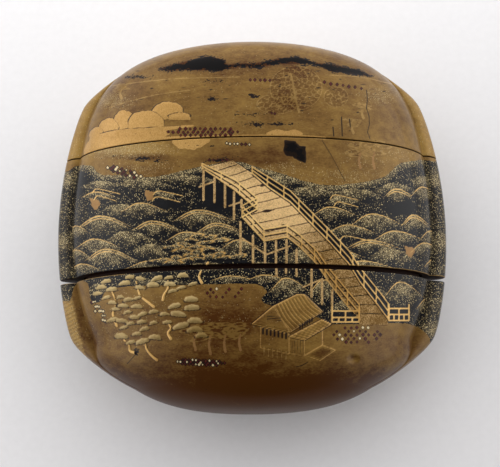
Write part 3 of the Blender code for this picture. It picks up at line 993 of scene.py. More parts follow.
for anchors in TRUNKS:
    trunk = flowing(anchors, 4)
    where = over_water if trunk[0, 1] < LOWER_SEAM_PX else near_front
    bark = stroke(trunk, np.linspace(0.7, 1.3, len(trunk)))
    # Painted shadow: a dark stroke a little to the right of and below each trunk.
    lay("dark_line", stroke(trunk + (1.1, 0.3), 0.6), where)
    cover(["dark_line"], bark, where)
    lay("gold_line", bark, where)
    raise_by(TRUNK_RELIEF, bark, 1.0, where)
pads = []
for x, y, half_wide, half_high, wider in TREES:
    before = len(pads)
    throw_pads(x, y, half_wide, half_high, pads, PAD_GAP * wider)
    for spot_x, spot_y, size in sorted(pads[before:], key=lambda spot: spot[1]):
        wide = PAD_HALF * wider * size
        pad(spot_x, spot_y, wide, wide * rng.uniform(0.5, 0.62), rng.uniform(-0.1, 0.3))
clump = []
for x, y, half_wide, half_high in CLUMP_OVER_WATER:
    throw_pads(x, y, half_wide, half_high, clump, CLUMP_GAP)
for x, y, size in sorted(clump, key=lambda spot: spot[1]):
    needles = oval(x, y, rng.uniform(5, 10) * size, NEEDLES_HALF * size, rng.uniform(-0.1, 0.35))
    needles = wavering(needles, x, y, 0.35)
    cover(["gold_line", "faint_line"], needles + 1.0, over_water)
    under = np.clip((sheet_y - y) / NEEDLES_HALF + 1, 0, 2)
    dust_to(np.clip(0.7 - 0.4 * under, 0.03, 1), over_water & (needles > -1.0))
    lay("faint_line", np.where(under < 1.2, 0.45 - np.abs(needles), -FAR), over_water)
    lay("gold_line", np.where(sheet_y < y - 0.3, 0.30 - np.abs(needles), -FAR), over_water)
    raise_by(0.3 * PAD_RELIEF, needles, 1.5, over_water)
print(len(pads), "pads in the grove and", len(clump), "over the water")

# %% [markdown]
# Farther trees are only drawn, in gold on the gold ground, where they barely show: stems with flat caps, and on the
# lid a great round crown of leaves. Three reddish rocks stand at the water's edge.

# %% Far trees and rocks
FAR_PINES = [
    # foot x and y, height
    (359, 168, 25), (373, 168, 26), (194, 350, 26), (209, 354, 30), (224, 352, 28), (239, 350, 26), (352, 133, 14),
    (362, 118, 14), (120, 98, 14),
]
CAPS = 7  # flat tufts on a far pine
CROWNS = [(296, 88, 26, 22), (277, 104, 20, 10), (336, 97, 12, 10)]
CROWN_TONE = -0.17
LEAF = (3.2, 2.4)
LEAF_SHARE = 7  # leaves are this many times fewer than half width times half height
LEAF_TURN = 2.4  # from one leaf to the next, as leaves grow round a stem
BRANCHES = [(110, 86, 170, 79, 240, 77), (104, 109, 150, 96, 190, 90), (325, 75, 360, 77, 392, 84)]
STEM = [(299, 112), (296, 100), (293, 84), (291, 74)]
ROCKS = [(149, 195), (95, 203.5), (409.5, 251)]
ROCK = np.array([(-5, -5), (0, -4), (5, -2), (3, 5), (-2, 5), (-5, -5)])
ROCK_RELIEF = 0.04
on_ground = on_front & outside & (layers["gold_ground"] > 0) & (np.maximum(layers["deck_gold"], hut) < 0)
for x, y, height in FAR_PINES:
    stem = flowing([(x + 1.5, y), (x, y - 0.3 * height), (x + 1.5, y - 0.6 * height)], 4)
    lay("orange_gold" if y > 140 else "faint_line", stroke(stem, np.linspace(1.4, 0.8, len(stem))), on_ground)
    for cap in range(CAPS):
        cap_x = x + rng.uniform(-0.45, 0.45) * height
        cap_y = y - height * (0.5 + 0.08 * cap)
        wide = 0.22 * height * rng.uniform(0.8, 1.3)
        shape = oval(cap_x, cap_y, wide, 0.26 * wide, rng.uniform(-0.1, 0.2))
        lay("faint_line", 0.42 - np.abs(shape), on_ground)
        tone_by(-0.14, on_ground & (shape > -0.5))
for x, y, half_wide, half_high in CROWNS:
    crown = oval(x, y, half_wide, half_high)
    tone_by(CROWN_TONE * np.clip(crown + 1, 0, 1), front_lid)
    lay("faint_line", 0.3 - np.abs(crown), front_lid)
    leaves = half_wide * half_high / LEAF_SHARE
    for leaf in range(round(leaves)):
        turn, reach = leaf * LEAF_TURN, math.sqrt((leaf + 0.5) / leaves)
        leaf_x, leaf_y = x + half_wide * reach * math.cos(turn), y + half_high * reach * math.sin(turn)
        arc = np.linspace(0, math.pi * 1.25, 6) + turn
        curl = np.column_stack([leaf_x + LEAF[0] * np.cos(arc), leaf_y + LEAF[1] * np.sin(arc)])
        lay("faint_line", np.minimum(stroke(curl, 0.3), crown), front_lid)
lay("faint_line", stroke(flowing(STEM), 0.9), front_lid)
for branch in BRANCHES:
    lay("faint_line", stroke(flowing(np.reshape(branch, (3, 2))), 0.4), front_lid)
for x, y in ROCKS:
    rock = area(flowing(ROCK + (x, y), 4))
    lay("orange_gold", wavering(rock, x, y, 0.5), front_middle)
    raise_by(ROCK_RELIEF, rock, 1.0, front_middle)
print(len(FAR_PINES), "far pines,", len(CROWNS), "leafy crowns")

# %% [markdown]
# Scattered over the land are tiny diamonds of cut foil and lacquer, in beds like gardens: red, dark and pale. Each is
# a little under half a millimetre across, and they are set in slanting rows.

# %% Cut diamonds
BEDS = [
    # middle x, middle y, half width, half height, lean, spacing, size, share left out, share of pale ones
    (203, 132, 38, 4.6, 0.0, 5.0, 1.6, 0.06, 0.06), (343, 85.5, 22, 2.0, -0.16, 6.0, 1.6, 0.1, 0.0),
    (124, 172, 20, 3.4, -0.28, 4.2, 1.4, 0.08, 0.45), (238, 144, 13, 2.2, -0.05, 3.8, 1.2, 0.05, 0.7),
    (218, 160, 11, 2.4, 0.0, 4.4, 1.5, 0.1, 0.1), (99, 311, 8, 7.0, -1.2, 3.8, 1.3, 0.12, 0.75),
    (201, 362.5, 24, 3.8, -0.04, 3.4, 1.2, 0.04, 0.41), (357, 335, 25, 8.5, 0.0, 5.8, 1.55, 0.12, 0.22),
    (226, 293, 22, 6.5, 0.0, 6.2, 1.5, 0.3, 0.3), (260, 80, 11, 2.0, 0.0, 5.0, 1.6, 0.1, 0.0),
    (275, 113, 6, 2.0, 0.0, 4.0, 1.2, 0.2, 0.0),
]
BED_ROWS = range(-5, 6)
BED_COLUMNS = range(-9, 10)
ROW_SHARE = 0.62  # of the spacing along a row
DARK_BED_FROM = 0.4  # a bed with a larger share of pale ones stands in a dark rim
laid = 0
for x, y, half_wide, half_high, lean, spacing, size, left_out, pale_share in BEDS:
    rim = 0.9 if pale_share > DARK_BED_FROM else 0.5
    for row, column in itertools.product(BED_ROWS, BED_COLUMNS):
        across = spacing * (column + 0.5 * (row % 2)) + rng.normal(0, 0.25)
        down = ROW_SHARE * spacing * row + rng.normal(0, 0.2)
        if math.hypot(across / half_wide, down / half_high) > 1 or rng.random() < left_out:
            continue
        foil_x, foil_y = x + across, y + down - lean * across
        foil = size * rng.uniform(0.75, 1.15) - np.abs(sheet_x - foil_x) - 0.9 * np.abs(sheet_y - foil_y)
        foil = np.clip(foil, -FAR, FAR)
        lay("dark_line", foil + rim, on_front)
        lay("pale_inlay" if rng.random() < pale_share else "red_inlay", foil, on_front)
        laid += 1
print(laid, "cut diamonds")

# %% [markdown]
# Wear stays as the photograph shows it. The lid's crown is rubbed through to the black in a ragged streak, a patch
# under the upper seam has lifted, a crack runs down the lid at the right, and there are chips, scratches and small
# dark marks all over the lid. Two stretches of the open seam's edges carry a thin light brown line, which is a
# painted highlight along the edge, and there is a dent near the lower right. Nearly all of it is colour and gloss.
# Only the dent is real depth, and its lower rim has a painted highlight and its upper half painted shade.

# %% Wear, and painted highlights on the seam edges and the dent
RUBBED = np.array([
    # x, y, half width
    (160, 69, 0.2), (168, 68.5, 2.2), (184, 66, 3.8), (198, 64.5, 5.2), (210, 63.5, 6.6), (220, 65, 5.6),
    (227, 67, 1.6), (240, 65, 1.0), (256, 65.5, 1.6), (268, 63.5, 1.6), (280, 61, 2.6), (298, 60.5, 3.0),
    (311, 62.5, 0.8), (320, 65, 1.0), (332, 68, 3.4), (345, 70, 2.4), (358, 72.5, 2.2), (371, 76, 0.2),
])
LIFTED = [
    (284.5, 140.5), (296, 141), (299, 146), (306, 146.5), (306, 164), (299, 161), (293, 157), (287, 156), (283, 151),
]
CHIPS = [
    # middle x, middle y, half width, half height
    (254, 114, 6, 1.0), (263, 124, 11, 1.1), (212, 81, 4, 0.8), (252, 96, 3, 1.4), (211, 98.5, 3.5, 1.6),
    (136, 353, 1.8, 2.2), (218, 160, 11, 1.6), (136, 77, 6, 0.8),
]
SMEARS = [(114, 157, 9, 2.0), (140, 158.5, 15, 2.2), (160, 161, 14, 1.8), (208, 146, 9, 1.6)]
CRACK = [(366.5, 90), (367.5, 99), (366.5, 108), (369, 116), (369.5, 124), (367.5, 132), (370, 139)]
SCRATCHES = [
    [(322, 140), (331, 155), (345, 181)], [(127, 364), (135, 355), (138, 350)], [(265, 212), (274, 210)],
    [(296, 367), (302, 365.5), (308, 362)],
]
TICKS = [(333, 127, 136), (341.5, 117, 136), (349.5, 119, 127)]  # x, top, foot
SCRATCH_HALF = 0.45
SMALL_MARKS = 66
EDGE_HIGHLIGHT_LINES = [
    # the seam, the piece, and where along the seam
    (LOWER_SEAM, front_middle, from_waist[:, 0] > 12), (BOTTOM_EDGE, front_bottom, from_waist[:, 0] < -19),
]
DENT = (353.5, 359, 5.5, 4.5)
DENT_DEPTH = 0.22  # mm
DENT_TONES = (0.45, -0.1)  # how much its lower rim is lit and its upper half shaded, and the whole darkened
rubbed = stroke(RUBBED[:, :2], RUBBED[:, 2]) + 0.7
lay("worn", rubbed, front_lid)
lifted = area(LIFTED)
lay("dark_line", wavering(lifted, 295, 152, 0.4), front_middle)
lay("worn", lifted - 3.0, front_middle)
tone_by(-0.8 * np.clip(lifted / 2, 0, 1), front_middle)
tone_by(-0.5 * np.clip(rubbed, 0, 1), front_lid)
for x, y, half_wide, half_high in SMEARS:
    lay("worn", oval(x, y, half_wide, half_high) - 1.3, front_middle)
for x, y, half_wide, half_high in CHIPS:
    lay("worn", oval(x, y, half_wide, half_high), on_front)
for mark in range(SMALL_MARKS):
    x, y = rng.uniform(120, 385), rng.normal(88, 18)
    if x < 205 and y > 100:  # the clouds keep theirs clear
        continue
    lay("dark_line", oval(x, y, rng.uniform(0.8, 4.0), rng.uniform(0.35, 0.75), 0.05) - 0.1, front_lid)
lay("dark_line", stroke(CRACK, SCRATCH_HALF), front_lid)
for x, top, foot in TICKS:
    lay("dark_line", stroke([(x, top), (x + 0.8, foot)], 0.6), front_lid)
for scratch in SCRATCHES:
    lay("dark_line", stroke(scratch, SCRATCH_HALF), on_front & ~on_lid)
# Painted highlight: a thin light brown line along two stretches of the seam edges.
for seam, piece, stretch in EDGE_HIGHLIGHT_LINES:
    from_edge = np.abs(from_waist[:, 1] - seam)
    lay("faint_line", np.clip(0.7 - from_edge / EDGE_RADIUS, -FAR, 1), piece & stretch)
dented = np.clip((oval(*DENT) + 1) / 4, 0, 1)
relief = np.where(front_bottom, relief - DENT_DEPTH * dented, relief)
lit = np.clip((sheet_y - DENT[1]) / 3.5, -1, 1)
tone_by(DENT_TONES[0] * dented * lit + DENT_TONES[1] * dented, front_bottom)
print(SMALL_MARKS, "small marks")

# %% [markdown]
# Each rib carries on what lies beside it: gold on the lid, black with drifts of dust on the middle case, and below
# a gold rib with a fine rope pattern on the left. Small extra layers hold that, the darker and lighter places, and
# the pale mist of dust that was sprinkled over parts of the gold. Some of the darker and lighter places are the
# gold's own unevenness. The darkening down the lower part of the bottom case is painted shade, and a band along
# its lower rim is lightened a little again as a painted reflection.

# %% Lighter and darker places, some of them painted shade and painted reflection
TONES = [
    # middle x, middle y, half width, half height, tone, piece
    (120, 150, 70, 12, 0.35, on_middle), (150, 172, 50, 8, -0.15, on_middle), (250, 158, 60, 12, -0.35, on_middle),
    # Painted shade: the bottom-case entries at y 330 and y 403, on this line and the next, darken its lower part.
    (110, 154, 26, 8, -0.2, on_middle), (225, 330, 80, 42, -0.40, on_bottom), (370, 335, 60, 22, -0.05, on_bottom),
    (120, 320, 60, 40, -0.08, on_bottom), (250, 403, 300, 42, -0.85, on_bottom), (250, 62, 150, 12, -0.15, on_lid),
    (148, 157, 28, 4, -0.6, on_middle), (199, 253, 45, 14, -0.45, on_middle), (225, 318, 42, 12, -0.2, on_bottom),
    (250, 100, 200, 60, -0.08, on_lid), (418, 345, 12, 24, -0.12, on_bottom), (90, 335, 8, 40, -0.1, on_bottom),
    (340, 160, 26, 22, -0.12, on_middle), (235, 72, 70, 9, -0.15, on_lid), (385, 108, 22, 28, -0.06, on_lid),
    (122, 94, 30, 24, -0.2, on_lid), (105, 350, 26, 26, -0.25, on_bottom), (388, 348, 34, 14, -0.25, on_bottom),
    # Painted reflection: the entry at y 408 lightens a band along the bottom's lower rim.
    (436, 338, 12, 26, 0.1, on_bottom), (250, 408, 110, 8, 0.12, on_bottom), (130, 135, 42, 6, -0.14, on_lid),
]
MISTS = [
    # middle x, middle y, half width, half height, most dust, piece
    (122, 149, 52, 9, 0.7, on_middle), (140, 168, 50, 8, 0.25, on_middle), (345, 176, 52, 10, 0.26, on_middle),
    (380, 155, 50, 16, 0.16, on_middle), (285, 168, 32, 7, 0.28, on_middle), (250, 95, 150, 60, 0.05, on_lid),
    (112, 101, 24, 8, 0.4, on_lid), (380, 95, 22, 10, 0.35, on_lid), (130, 315, 60, 40, 0.10, on_bottom),
    (250, 300, 200, 60, 0.06, on_bottom),
]
print(len(TONES), "toned places and", len(MISTS), "misty ones")

# %% Ribs, tone and mist
GROOVE_SHARE = 0.985  # of the body's half width
MOST_RUN_OUT = 0.6  # below this the ribs count as run out
BAND = 2.0  # mm from a rib's edge to where its rope pattern ends
ROPE_TONE = (0.3, 0.25)  # the mean and how much it varies
RIB_DUST = (0.24, 0.22, 0.34)  # least dust, how much more in a drift, and how much more along its middle
DRIFTS = ((0.21, 1.2, 0.5), (0.083, 0.0, 0.45))  # two waves down a rib: how fast, from where, how strong
groove_x = half_sizes(from_waist[:, 1])[0] * GROOVE_SHARE
on_rib = (np.abs(from_waist[:, 0]) > groove_x) & outside & (np.abs(from_waist[:, 2]) < RIB_HALF_THICKNESS + 0.05)
on_rib &= groove_run_out(from_waist[:, 1]) < MOST_RUN_OUT
from_rim = rib_bow(from_waist[:, 1]) - np.abs(from_waist[:, 0])
rib_middle = np.clip(1.3 - np.abs(from_rim - 1.0) / 0.9, 0, 1)
drift = np.clip(sum(np.sin(sheet_y * fast + start) * strong for fast, start, strong in DRIFTS), 0, 1)
dust_to(RIB_DUST[0] + drift * (RIB_DUST[1] + RIB_DUST[2] * rib_middle), on_rib & water)
layers["gold_line"] = np.where(on_rib, -FAR, layers["gold_line"])
rope = on_rib & on_bottom & (from_waist[:, 0] < 0) & (layers["gold_ground"] > 0)
tone_by(ROPE_TONE[0] + ROPE_TONE[1] * np.sin(sheet_y * 1.5 + sheet_x * 0.8), rope & (from_rim < BAND))
tone_by(-0.25, rope & (from_rim >= BAND))
tone_by(0.35, on_rib & on_lid)


def fading(x, y, half_wide, half_high):
    """1 in the middle of an oval, fading to 0 a little outside it."""
    return np.clip(1.3 - np.hypot((sheet_x - x) / half_wide, (sheet_y - y) / half_high), 0, 1)


layers["mist"] = np.where(on_rib & on_lid, 0.12, layers["mist"])
for *place, tone, piece in TONES:
    tone_by(tone * fading(*place), piece & ~rope)
for *place, most, piece in MISTS:
    layers["mist"] = np.maximum(layers["mist"], np.where(piece, most * fading(*place), 0))
layers["mist"] = np.where(rope & (from_rim < BAND), 0.35, layers["mist"])
for name in layers:
    layers[name] = np.where(outside, layers[name], 0.0 if name in ("dust", "mist", "tone") else -FAR)
relief = np.where(outside & on_front & ~on_rib, relief, 0)
print("relief from", round(float(relief.min()), 2), "to", round(float(relief.max()), 2), "mm")

# %% [markdown]
# The relief is real: each point moves out along its own normal by the height that was built up. Then the layers go
# onto the meshes as attributes, which the material reads.

# %% Relief and layers onto the cases
for case, places, own in zip(cases, points, own_points):
    normals = numbers(case, case.data.vertex_normals, "vector", 3)
    moved = places + normals * relief[own, None].astype(np.float32) * MM
    case.data.vertices.foreach_set("co", moved.ravel())
    for name, values in layers.items():
        layer = case.data.attributes.new(name, "FLOAT", "POINT")
        layer.data.foreach_set("value", values[own].astype(np.float32))
    case.data.update()
    print(case.name, "carries", len(layers), "layers")

# %% [markdown]
# The material is urushi, the sap lacquer of Japanese boxes, with gold powder sprinkled in it while it was wet. It
# was brushed on in many coats and polished, so it is smooth and semi-glossy like a thin clear coat over colour.
# Under the bottom it is darker and duller: the darkening there is painted shade, and the clear coat is thinner
# where the tone is darkest, which weakens its reflection. Gold powder under lacquer looks browner and duller than
# metal, and raised gold on top is the brightest. Four small helpers come first: one turns a colour into what
# Blender works in, one feeds a node's inputs, one adds a node, and one starts a material.

# %% Small helpers for materials
def linear(hex_colour):
    """An sRGB hex colour as the linear values that Blender works in."""
    channels = [int(hex_colour[i : i + 2], 16) / 255 for i in (1, 3, 5)]
    return (*[c / 12.92 if c <= 0.04045 else ((c + 0.055) / 1.055) ** 2.4 for c in channels], 1.0)


def feed(tree, node, inputs):
    """Gives each input of a node a value, or what feeds it, where a node stands for its first output."""
    for name, value in inputs.items():
        value = value.outputs[0] if isinstance(value, bpy.types.Node) else value
        if isinstance(value, bpy.types.NodeSocket):
            tree.links.new(value, node.inputs[name])
        else:
            node.inputs[name].default_value = value


def put(tree, kind, inputs, **settings):
    """Adds a node, with its settings and what its inputs get."""
    made = tree.nodes.new("ShaderNode" + kind)
    for name, value in settings.items():
        setattr(made, name, value)
    feed(tree, made, inputs)
    return made


def new_material(name):
    """A material with its nodes, its shader, and the output that says where on the piece a point is."""
    material = bpy.data.materials.new(name)
    material.use_nodes = True
    tree = material.node_tree
    return material, tree, tree.nodes["Principled BSDF"], put(tree, "TexCoord", {}).outputs["Object"]


print("black lacquer as linear values:", [round(value, 4) for value in linear("#161618")[:3]])

# %% [markdown]
# From the bottom up, the coats are black lacquer, gold dust, the gold ground, drawn lines, bright gold, cut diamonds,
# and last the wear that goes back down to the black. Each has a dark and a light colour, because powder never lies
# evenly. Real gold powder is about 0.05 mm, too fine for the picture, so the grains are drawn coarser, and a thin
# haze between them stands for the finest ones.

# %% The coats
BLACK = ("#0b0b0d", "#161618")
BLACK_ROUGHNESS = 0.22
COATS = [
    # layer, dark colour, light colour, metallic, roughness, how ragged its edge is in px, height for the bump
    ("dust", "#6f5a33", "#e6d09a", 0.30, 0.38, 0.0, 0.5),
    ("gold_ground", "#472709", "#a28040", 0.22, 0.40, 0.8, 0.2),
    ("mist", "#7d683c", "#bda878", 0.30, 0.38, 0.0, 0.4),
    ("faint_line", "#7a5c2c", "#ba995d", 0.40, 0.36, 0.3, 0.5),
    ("deck_gold", "#6e5126", "#e6c085", 0.35, 0.38, 0.0, 0.4),
    ("bright_gold", "#987034", "#cda462", 0.40, 0.38, 0.2, 0.6),
    ("orange_gold", "#7d5a32", "#a98350", 0.35, 0.40, 0.3, 0.6),
    ("dark_line", "#1a110a", "#30221a", 0.0, 0.45, 0.2, 0.0),
    ("pad_gold", "#836a3b", "#cbb37d", 0.35, 0.40, 0.2, 0.6),
    ("gold_line", "#bf924e", "#f0c981", 0.45, 0.36, 0.1, 0.9),
    ("red_inlay", "#1d0b0b", "#5e241d", 0.1, 0.35, 0.0, 0.6),
    ("pale_inlay", "#b9a06c", "#e6d5aa", 0.3, 0.30, 0.0, 0.7),
    ("worn", "#0a0808", "#241812", 0.0, 0.50, 5.5, 0.0),
]
print("coats of lacquer:", 1 + len(COATS))

# %% [markdown]
# Two kinds of pattern run through all coats. Soft clouds at three sizes, drawn out sideways as a brush does, vary the
# colour. Cells as wide as a grain of powder, each with three random numbers of its own, say where a grain fell. A
# short table says how these are added up, with the tone, to vary the golds and to make their edges ragged.

# %% Clouds and grains
GRAIN = 0.125  # mm
CLOUD_SCALES = (0.22, 1.1, 5.0)  # per mm, for clouds about 4.5, 0.9 and 0.2 mm across
BRUSHED = (0.5, 1.0, 1.0)
HAZE = 0.22
THIN_DUST = 0.18  # too few grains for a haze
GRAIN_EDGE = (0.36, 0.60)  # in cells, from its middle
EDGE_SOFTNESS = 0.28  # px
SUMS = [
    # what it makes, the number it starts from, and what is added, each times its share
    ("cloudy", 0.0, (("broad", 0.7), ("middling", 0.7), ("fine", 0.6))),
    ("jitter", -1.0, (("middling", 1.0), ("fine", 1.0))),
    ("toned", 0.0, (("cloudy", 1.0), ("tone", 1.0))),
    ("bright_gold", 0.28, (("chance", 0.42), ("tone", 0.8))),
    ("deck_gold", -0.72, (("chance", 0.55), ("cloudy", 0.9), ("tone", 0.5))),
]


def grains(tree, amount, draw, grain):
    """Where grains of an amount of powder lie, with the haze between them."""
    lucky = put(tree, "Math", {0: amount, 1: draw}, operation="SUBTRACT")
    falls = put(tree, "MapRange", {0: lucky, 1: 0.0, 2: 0.06})
    dot = put(tree, "MapRange", {0: grain.outputs["Distance"], 1: GRAIN_EDGE[0], 2: GRAIN_EDGE[1], 3: 1.0, 4: 0.0})
    seen = put(tree, "Math", {0: falls, 1: dot}, operation="MULTIPLY")
    haze = put(tree, "MapRange", {0: amount, 1: THIN_DUST, 2: 1.0, 4: HAZE})
    return put(tree, "Math", {0: haze, 1: seen}, operation="ADD", use_clamp=True)


def inside_edge(tree, distance, ragged, jitter):
    """Where a layer's distance is more than zero, with an edge that may be ragged."""
    edge = put(tree, "Math", {0: jitter, 1: ragged * 2, 2: distance}, operation="MULTIPLY_ADD")
    return put(tree, "MapRange", {0: edge, 1: -EDGE_SOFTNESS, 2: EDGE_SOFTNESS}, interpolation_type="SMOOTHSTEP")


print("grains of", GRAIN, "mm in clouds of", [round(1 / scale, 1) for scale in CLOUD_SCALES], "mm")

# %% [markdown]
# A loop now lays one coat on another. For each it works out where the coat lies, how light it is there, and mixes
# its colour, metal, roughness and height over what is below. Tiny pits come last, and the clear coat is thinnest
# where the tone is darkest.

# %% The lacquer
PITS = 1.3  # per mm
PIT_COLOUR = "#20150c"
SHADE_RANGE = (0.45, 1.65)
BUMP_HEIGHT = 0.02  # mm
UNEVENNESS = 0.35  # how much of that the finest clouds take
LACQUER_IOR = 1.5
COAT_ROUGHNESS = 0.18
COAT_WEIGHTS = (-0.75, -0.3, 0.10, 0.40)  # from these tones, to these weights


def lacquer_picture(name):
    """All coats of the picture in one material."""
    material, tree, shader, place = new_material(name)
    layer = {own: put(tree, "Attribute", {}, attribute_name=own).outputs["Fac"] for own in layers}
    in_mm = put(tree, "VectorMath", {0: place, 3: 1 / MM}, operation="SCALE")
    brushed = put(tree, "VectorMath", {0: in_mm, 1: BRUSHED}, operation="MULTIPLY")
    broad, middling, fine = (
        put(tree, "TexNoise", {0: where, "Scale": scale, "Detail": detail})
        for where, scale, detail in zip((in_mm, brushed, brushed), CLOUD_SCALES, (4.0, 5.0, 3.0))
    )
    grain = put(tree, "TexVoronoi", {0: in_mm, "Scale": 1 / GRAIN})
    chance = put(tree, "SeparateColor", {0: grain.outputs["Color"]}).outputs
    sums = {"broad": broad, "middling": middling, "fine": fine, "chance": chance[1], "tone": layer["tone"]}
    for made, start, parts in SUMS:
        sums[made] = start
        for part, share in parts:
            added = {0: sums[part], 1: share, 2: sums[made]}
            sums[made] = put(tree, "Math", added, operation="MULTIPLY_ADD")

    shade = put(tree, "MapRange", {0: sums["toned"], 1: SHADE_RANGE[0], 2: SHADE_RANGE[1]})
    varied = {coat[0]: sums.get(coat[0], shade) for coat in COATS}
    varied["dust"] = varied["mist"] = varied["red_inlay"] = varied["pale_inlay"] = chance[1]
    smudge = put(tree, "MapRange", {0: sums["cloudy"], 1: 0.7, 2: 1.3})
    colour = put(tree, "Mix", {0: smudge, 6: linear(BLACK[0]), 7: linear(BLACK[1])}, data_type="RGBA").outputs[2]
    metal, rough, height = 0.0, BLACK_ROUGHNESS, 0.0
    for own, dark, light, metallic, roughness, ragged, bump in COATS:
        if own in ("dust", "mist"):
            mask = grains(tree, layer[own], chance[0 if own == "dust" else 2], grain)
        else:
            mask = inside_edge(tree, layer[own], ragged, sums["jitter"])
        tint = put(tree, "Mix", {0: varied[own], 6: linear(dark), 7: linear(light)}, data_type="RGBA").outputs[2]
        colour = put(tree, "Mix", {0: mask, 6: colour, 7: tint}, data_type="RGBA").outputs[2]
        metal, rough, height = (
            put(tree, "Mix", {0: mask, 2: below, 3: above})
            for below, above in ((metal, metallic), (rough, roughness), (height, bump))
        )

    spots = put(tree, "TexVoronoi", {0: in_mm, "Scale": PITS})
    spot_chance = put(tree, "SeparateColor", {0: spots.outputs["Color"]})
    deep = put(tree, "MapRange", {0: spots.outputs["Distance"], 1: 0.05, 2: 0.12, 3: 1.0, 4: 0.0})
    rare = put(tree, "MapRange", {0: spot_chance, 1: 0.80, 2: 0.82})
    pit = put(tree, "Math", {0: deep, 1: rare}, operation="MULTIPLY")
    colour = put(tree, "Mix", {0: pit, 6: colour, 7: linear(PIT_COLOUR)}, data_type="RGBA").outputs[2]
    uneven = put(tree, "Math", {0: fine, 1: UNEVENNESS, 2: height}, operation="MULTIPLY_ADD")
    pitted = put(tree, "Math", {0: uneven, 1: pit}, operation="SUBTRACT")
    feed(tree, shader, {
        "Base Color": colour,
        "Metallic": metal,
        "Roughness": rough,
        "Normal": put(tree, "Bump", {"Height": pitted, "Distance": BUMP_HEIGHT * MM, "Strength": 0.9}),
        "IOR": LACQUER_IOR,
        "Specular IOR Level": 0.05,
        "Coat Weight": put(tree, "MapRange", {0: layer["tone"], **dict(enumerate(COAT_WEIGHTS, 1))}),
        "Coat Roughness": COAT_ROUGHNESS,
    })
    return material


picture_lacquer = lacquer_picture("urushi_lacquer_with_gold_powder")
print("nodes in the picture's lacquer:", len(picture_lacquer.node_tree.nodes))

# %% [markdown]
# Inside, most cases are plain dark lacquer, rubbed thin and dull. It goes on every face that has a point which isn't
# marked as outside.

# %% The inside
RUBBED_SCALE = 0.7  # per mm, for patches about 1.4 mm across


def inside_lacquer(name):
    """Plain dark lacquer, rubbed thin and dull."""
    material, tree, shader, place = new_material(name)
    rubbed_thin = put(tree, "TexNoise", {0: place, "Scale": RUBBED_SCALE / MM, "Detail": 4.0})
    tint = put(tree, "Mix", {0: rubbed_thin, 6: linear("#1a0b05"), 7: linear("#34180c")}, data_type="RGBA")
    dull = put(tree, "MapRange", {0: rubbed_thin, 3: 0.55, 4: 0.75})
    feed(tree, shader, {"Base Color": tint.outputs[2], "Roughness": dull, "Specular IOR Level": 0.2})
    return material


plain_lacquer = inside_lacquer("dull_dark_lacquer_inside")
for case, own in zip(cases, own_points):
    case.data.materials.clear()
    case.data.materials.append(picture_lacquer)
    case.data.materials.append(plain_lacquer)
    corner_points = numbers(case, case.data.loops, "vertex_index").astype(int)
    first_corner = numbers(case, case.data.polygons, "loop_start").astype(int)
    seen = np.logical_and.reduceat(outside[own][corner_points], first_corner)
    case.data.polygons.foreach_set("material_index", (~seen).astype(np.int32))
    print(case.name, "has", int((~seen).sum()), "faces of plain lacquer")

# %% [markdown]
# Each dressed case stands for its CAD node, and rides on the one body of the part. Edges sharper than 50 degrees
# stay crisp, such as the grooves beside the ribs, and all else shades smoothly.

# %% Into the frame
SMOOTH_UNDER = math.radians(50)
for case, cad_node, slot in (
    (lid, "lid", "gold_lacquer"),
    (middle_case, "middle_case", "black_lacquer"),
    (bottom_case, "bottom_case", "gold_lacquer"),
):
    take(case)
    bpy.ops.object.shade_smooth_by_angle(angle=SMOOTH_UNDER)
    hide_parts(cad_node)
    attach(case, "root")
    print(case.name, "stands for", cad_node)

# %% [markdown]
# The case lies on white paper. A wide soft window hangs nearly overhead, a low strip beyond the lid lights the top
# edge and the paper there, and a weak ceiling fills the shadows. None of them is mirrored in the lacquer: what it
# mirrors is the room, dim behind the camera and paler beyond the lid and to the sides. So the front stays dark, and
# pale light shows only along the top edge, beside the ribs and under the bottom.

# %% Paper
FLOOR_SIZE = 3.0
FIBRE_SCALE = 0.9  # per mm
deselect_all()
bpy.ops.mesh.primitive_plane_add(size=FLOOR_SIZE, location=(0, 0, 0))
floor = bpy.context.object
floor.name = "paper_floor"
paper, paper_tree, paper_shader, paper_place = new_material("matt_white_paper")
fibre = put(paper_tree, "TexNoise", {0: paper_place, "Scale": FIBRE_SCALE / MM})
paper_tint = put(paper_tree, "Mix", {0: fibre, 6: linear("#e5e4e5"), 7: linear("#ecebec")}, data_type="RGBA")
feed(paper_tree, paper_shader, {"Base Color": paper_tint.outputs[2], "Roughness": 0.9})
floor.data.materials.append(paper)
print("paper", FLOOR_SIZE, "m wide")

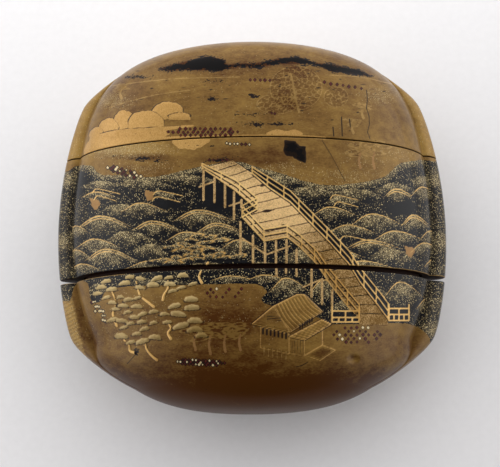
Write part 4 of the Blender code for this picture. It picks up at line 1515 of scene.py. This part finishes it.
# %% Light
LIGHTS = [
    # name, place, two sizes, watts
    ("window", (-0.03, 0.05, 0.20), (0.60, 0.18), 0.30),
    ("pale_ceiling", (0.0, -0.05, 0.50), (0.60, 0.60), 0.10),
    ("glow_beyond_the_lid", (-0.02, 0.14, 0.07), (0.40, 0.05), 0.16),
]
ROOM = [
    # how far towards the lid a direction points, from 0 behind the camera's feet to 1, and how bright it is there
    (0.0, 0.02), (0.30, 0.04), (0.45, 0.06), (0.58, 0.12), (0.65, 0.30), (0.72, 0.45), (0.85, 0.80), (1.0, 1.2),
]
SIDE_GLOW = [
    # how far to either side a direction points, and how much brighter it is there
    (0.0, 0.0), (0.45, 0.05), (0.66, 0.6), (0.86, 1.5), (1.0, 1.5),
]
ROOM_COLOUR = (1.0, 0.985, 0.985, 1.0)
for name, place, (size_x, size_y), watts in LIGHTS:
    deselect_all()
    bpy.ops.object.light_add(type="AREA", location=place)
    lamp = bpy.context.object
    lamp.name = name
    lamp.data.shape = "RECTANGLE"
    lamp.data.size, lamp.data.size_y = size_x, size_y
    lamp.data.energy = watts
    lamp.visible_glossy = False
    lamp.rotation_euler = (-Vector(place)).to_track_quat("-Z", "Y").to_euler()
world = bpy.data.worlds.new("dim_room")
bpy.context.scene.world = world
world.use_nodes = True
sky = world.node_tree
direction = put(sky, "TexCoord", {})
towards = put(sky, "SeparateXYZ", {0: direction.outputs["Generated"]}).outputs
lidward = put(sky, "MapRange", {0: towards[1], 1: -1.0, 2: 1.0})
sideways = put(sky, "Math", {0: towards[0]}, operation="ABSOLUTE")
ramps = {0: put(sky, "ValToRGB", {0: lidward}), 1: put(sky, "ValToRGB", {0: sideways})}
for ramp, stops in zip(ramps.values(), (ROOM, SIDE_GLOW)):
    while len(ramp.color_ramp.elements) < len(stops):
        ramp.color_ramp.elements.new(0.5)
    for element, (position, brightness) in zip(ramp.color_ramp.elements, stops):
        element.position = position
        element.color = (brightness, brightness, brightness, 1.0)
feed(sky, sky.nodes["Background"], {"Color": ROOM_COLOUR, "Strength": put(sky, "Math", ramps, operation="ADD")})
bpy.context.scene.view_settings.view_transform = "Standard"
print("lit by", len(LIGHTS), "lamps and a dim room")
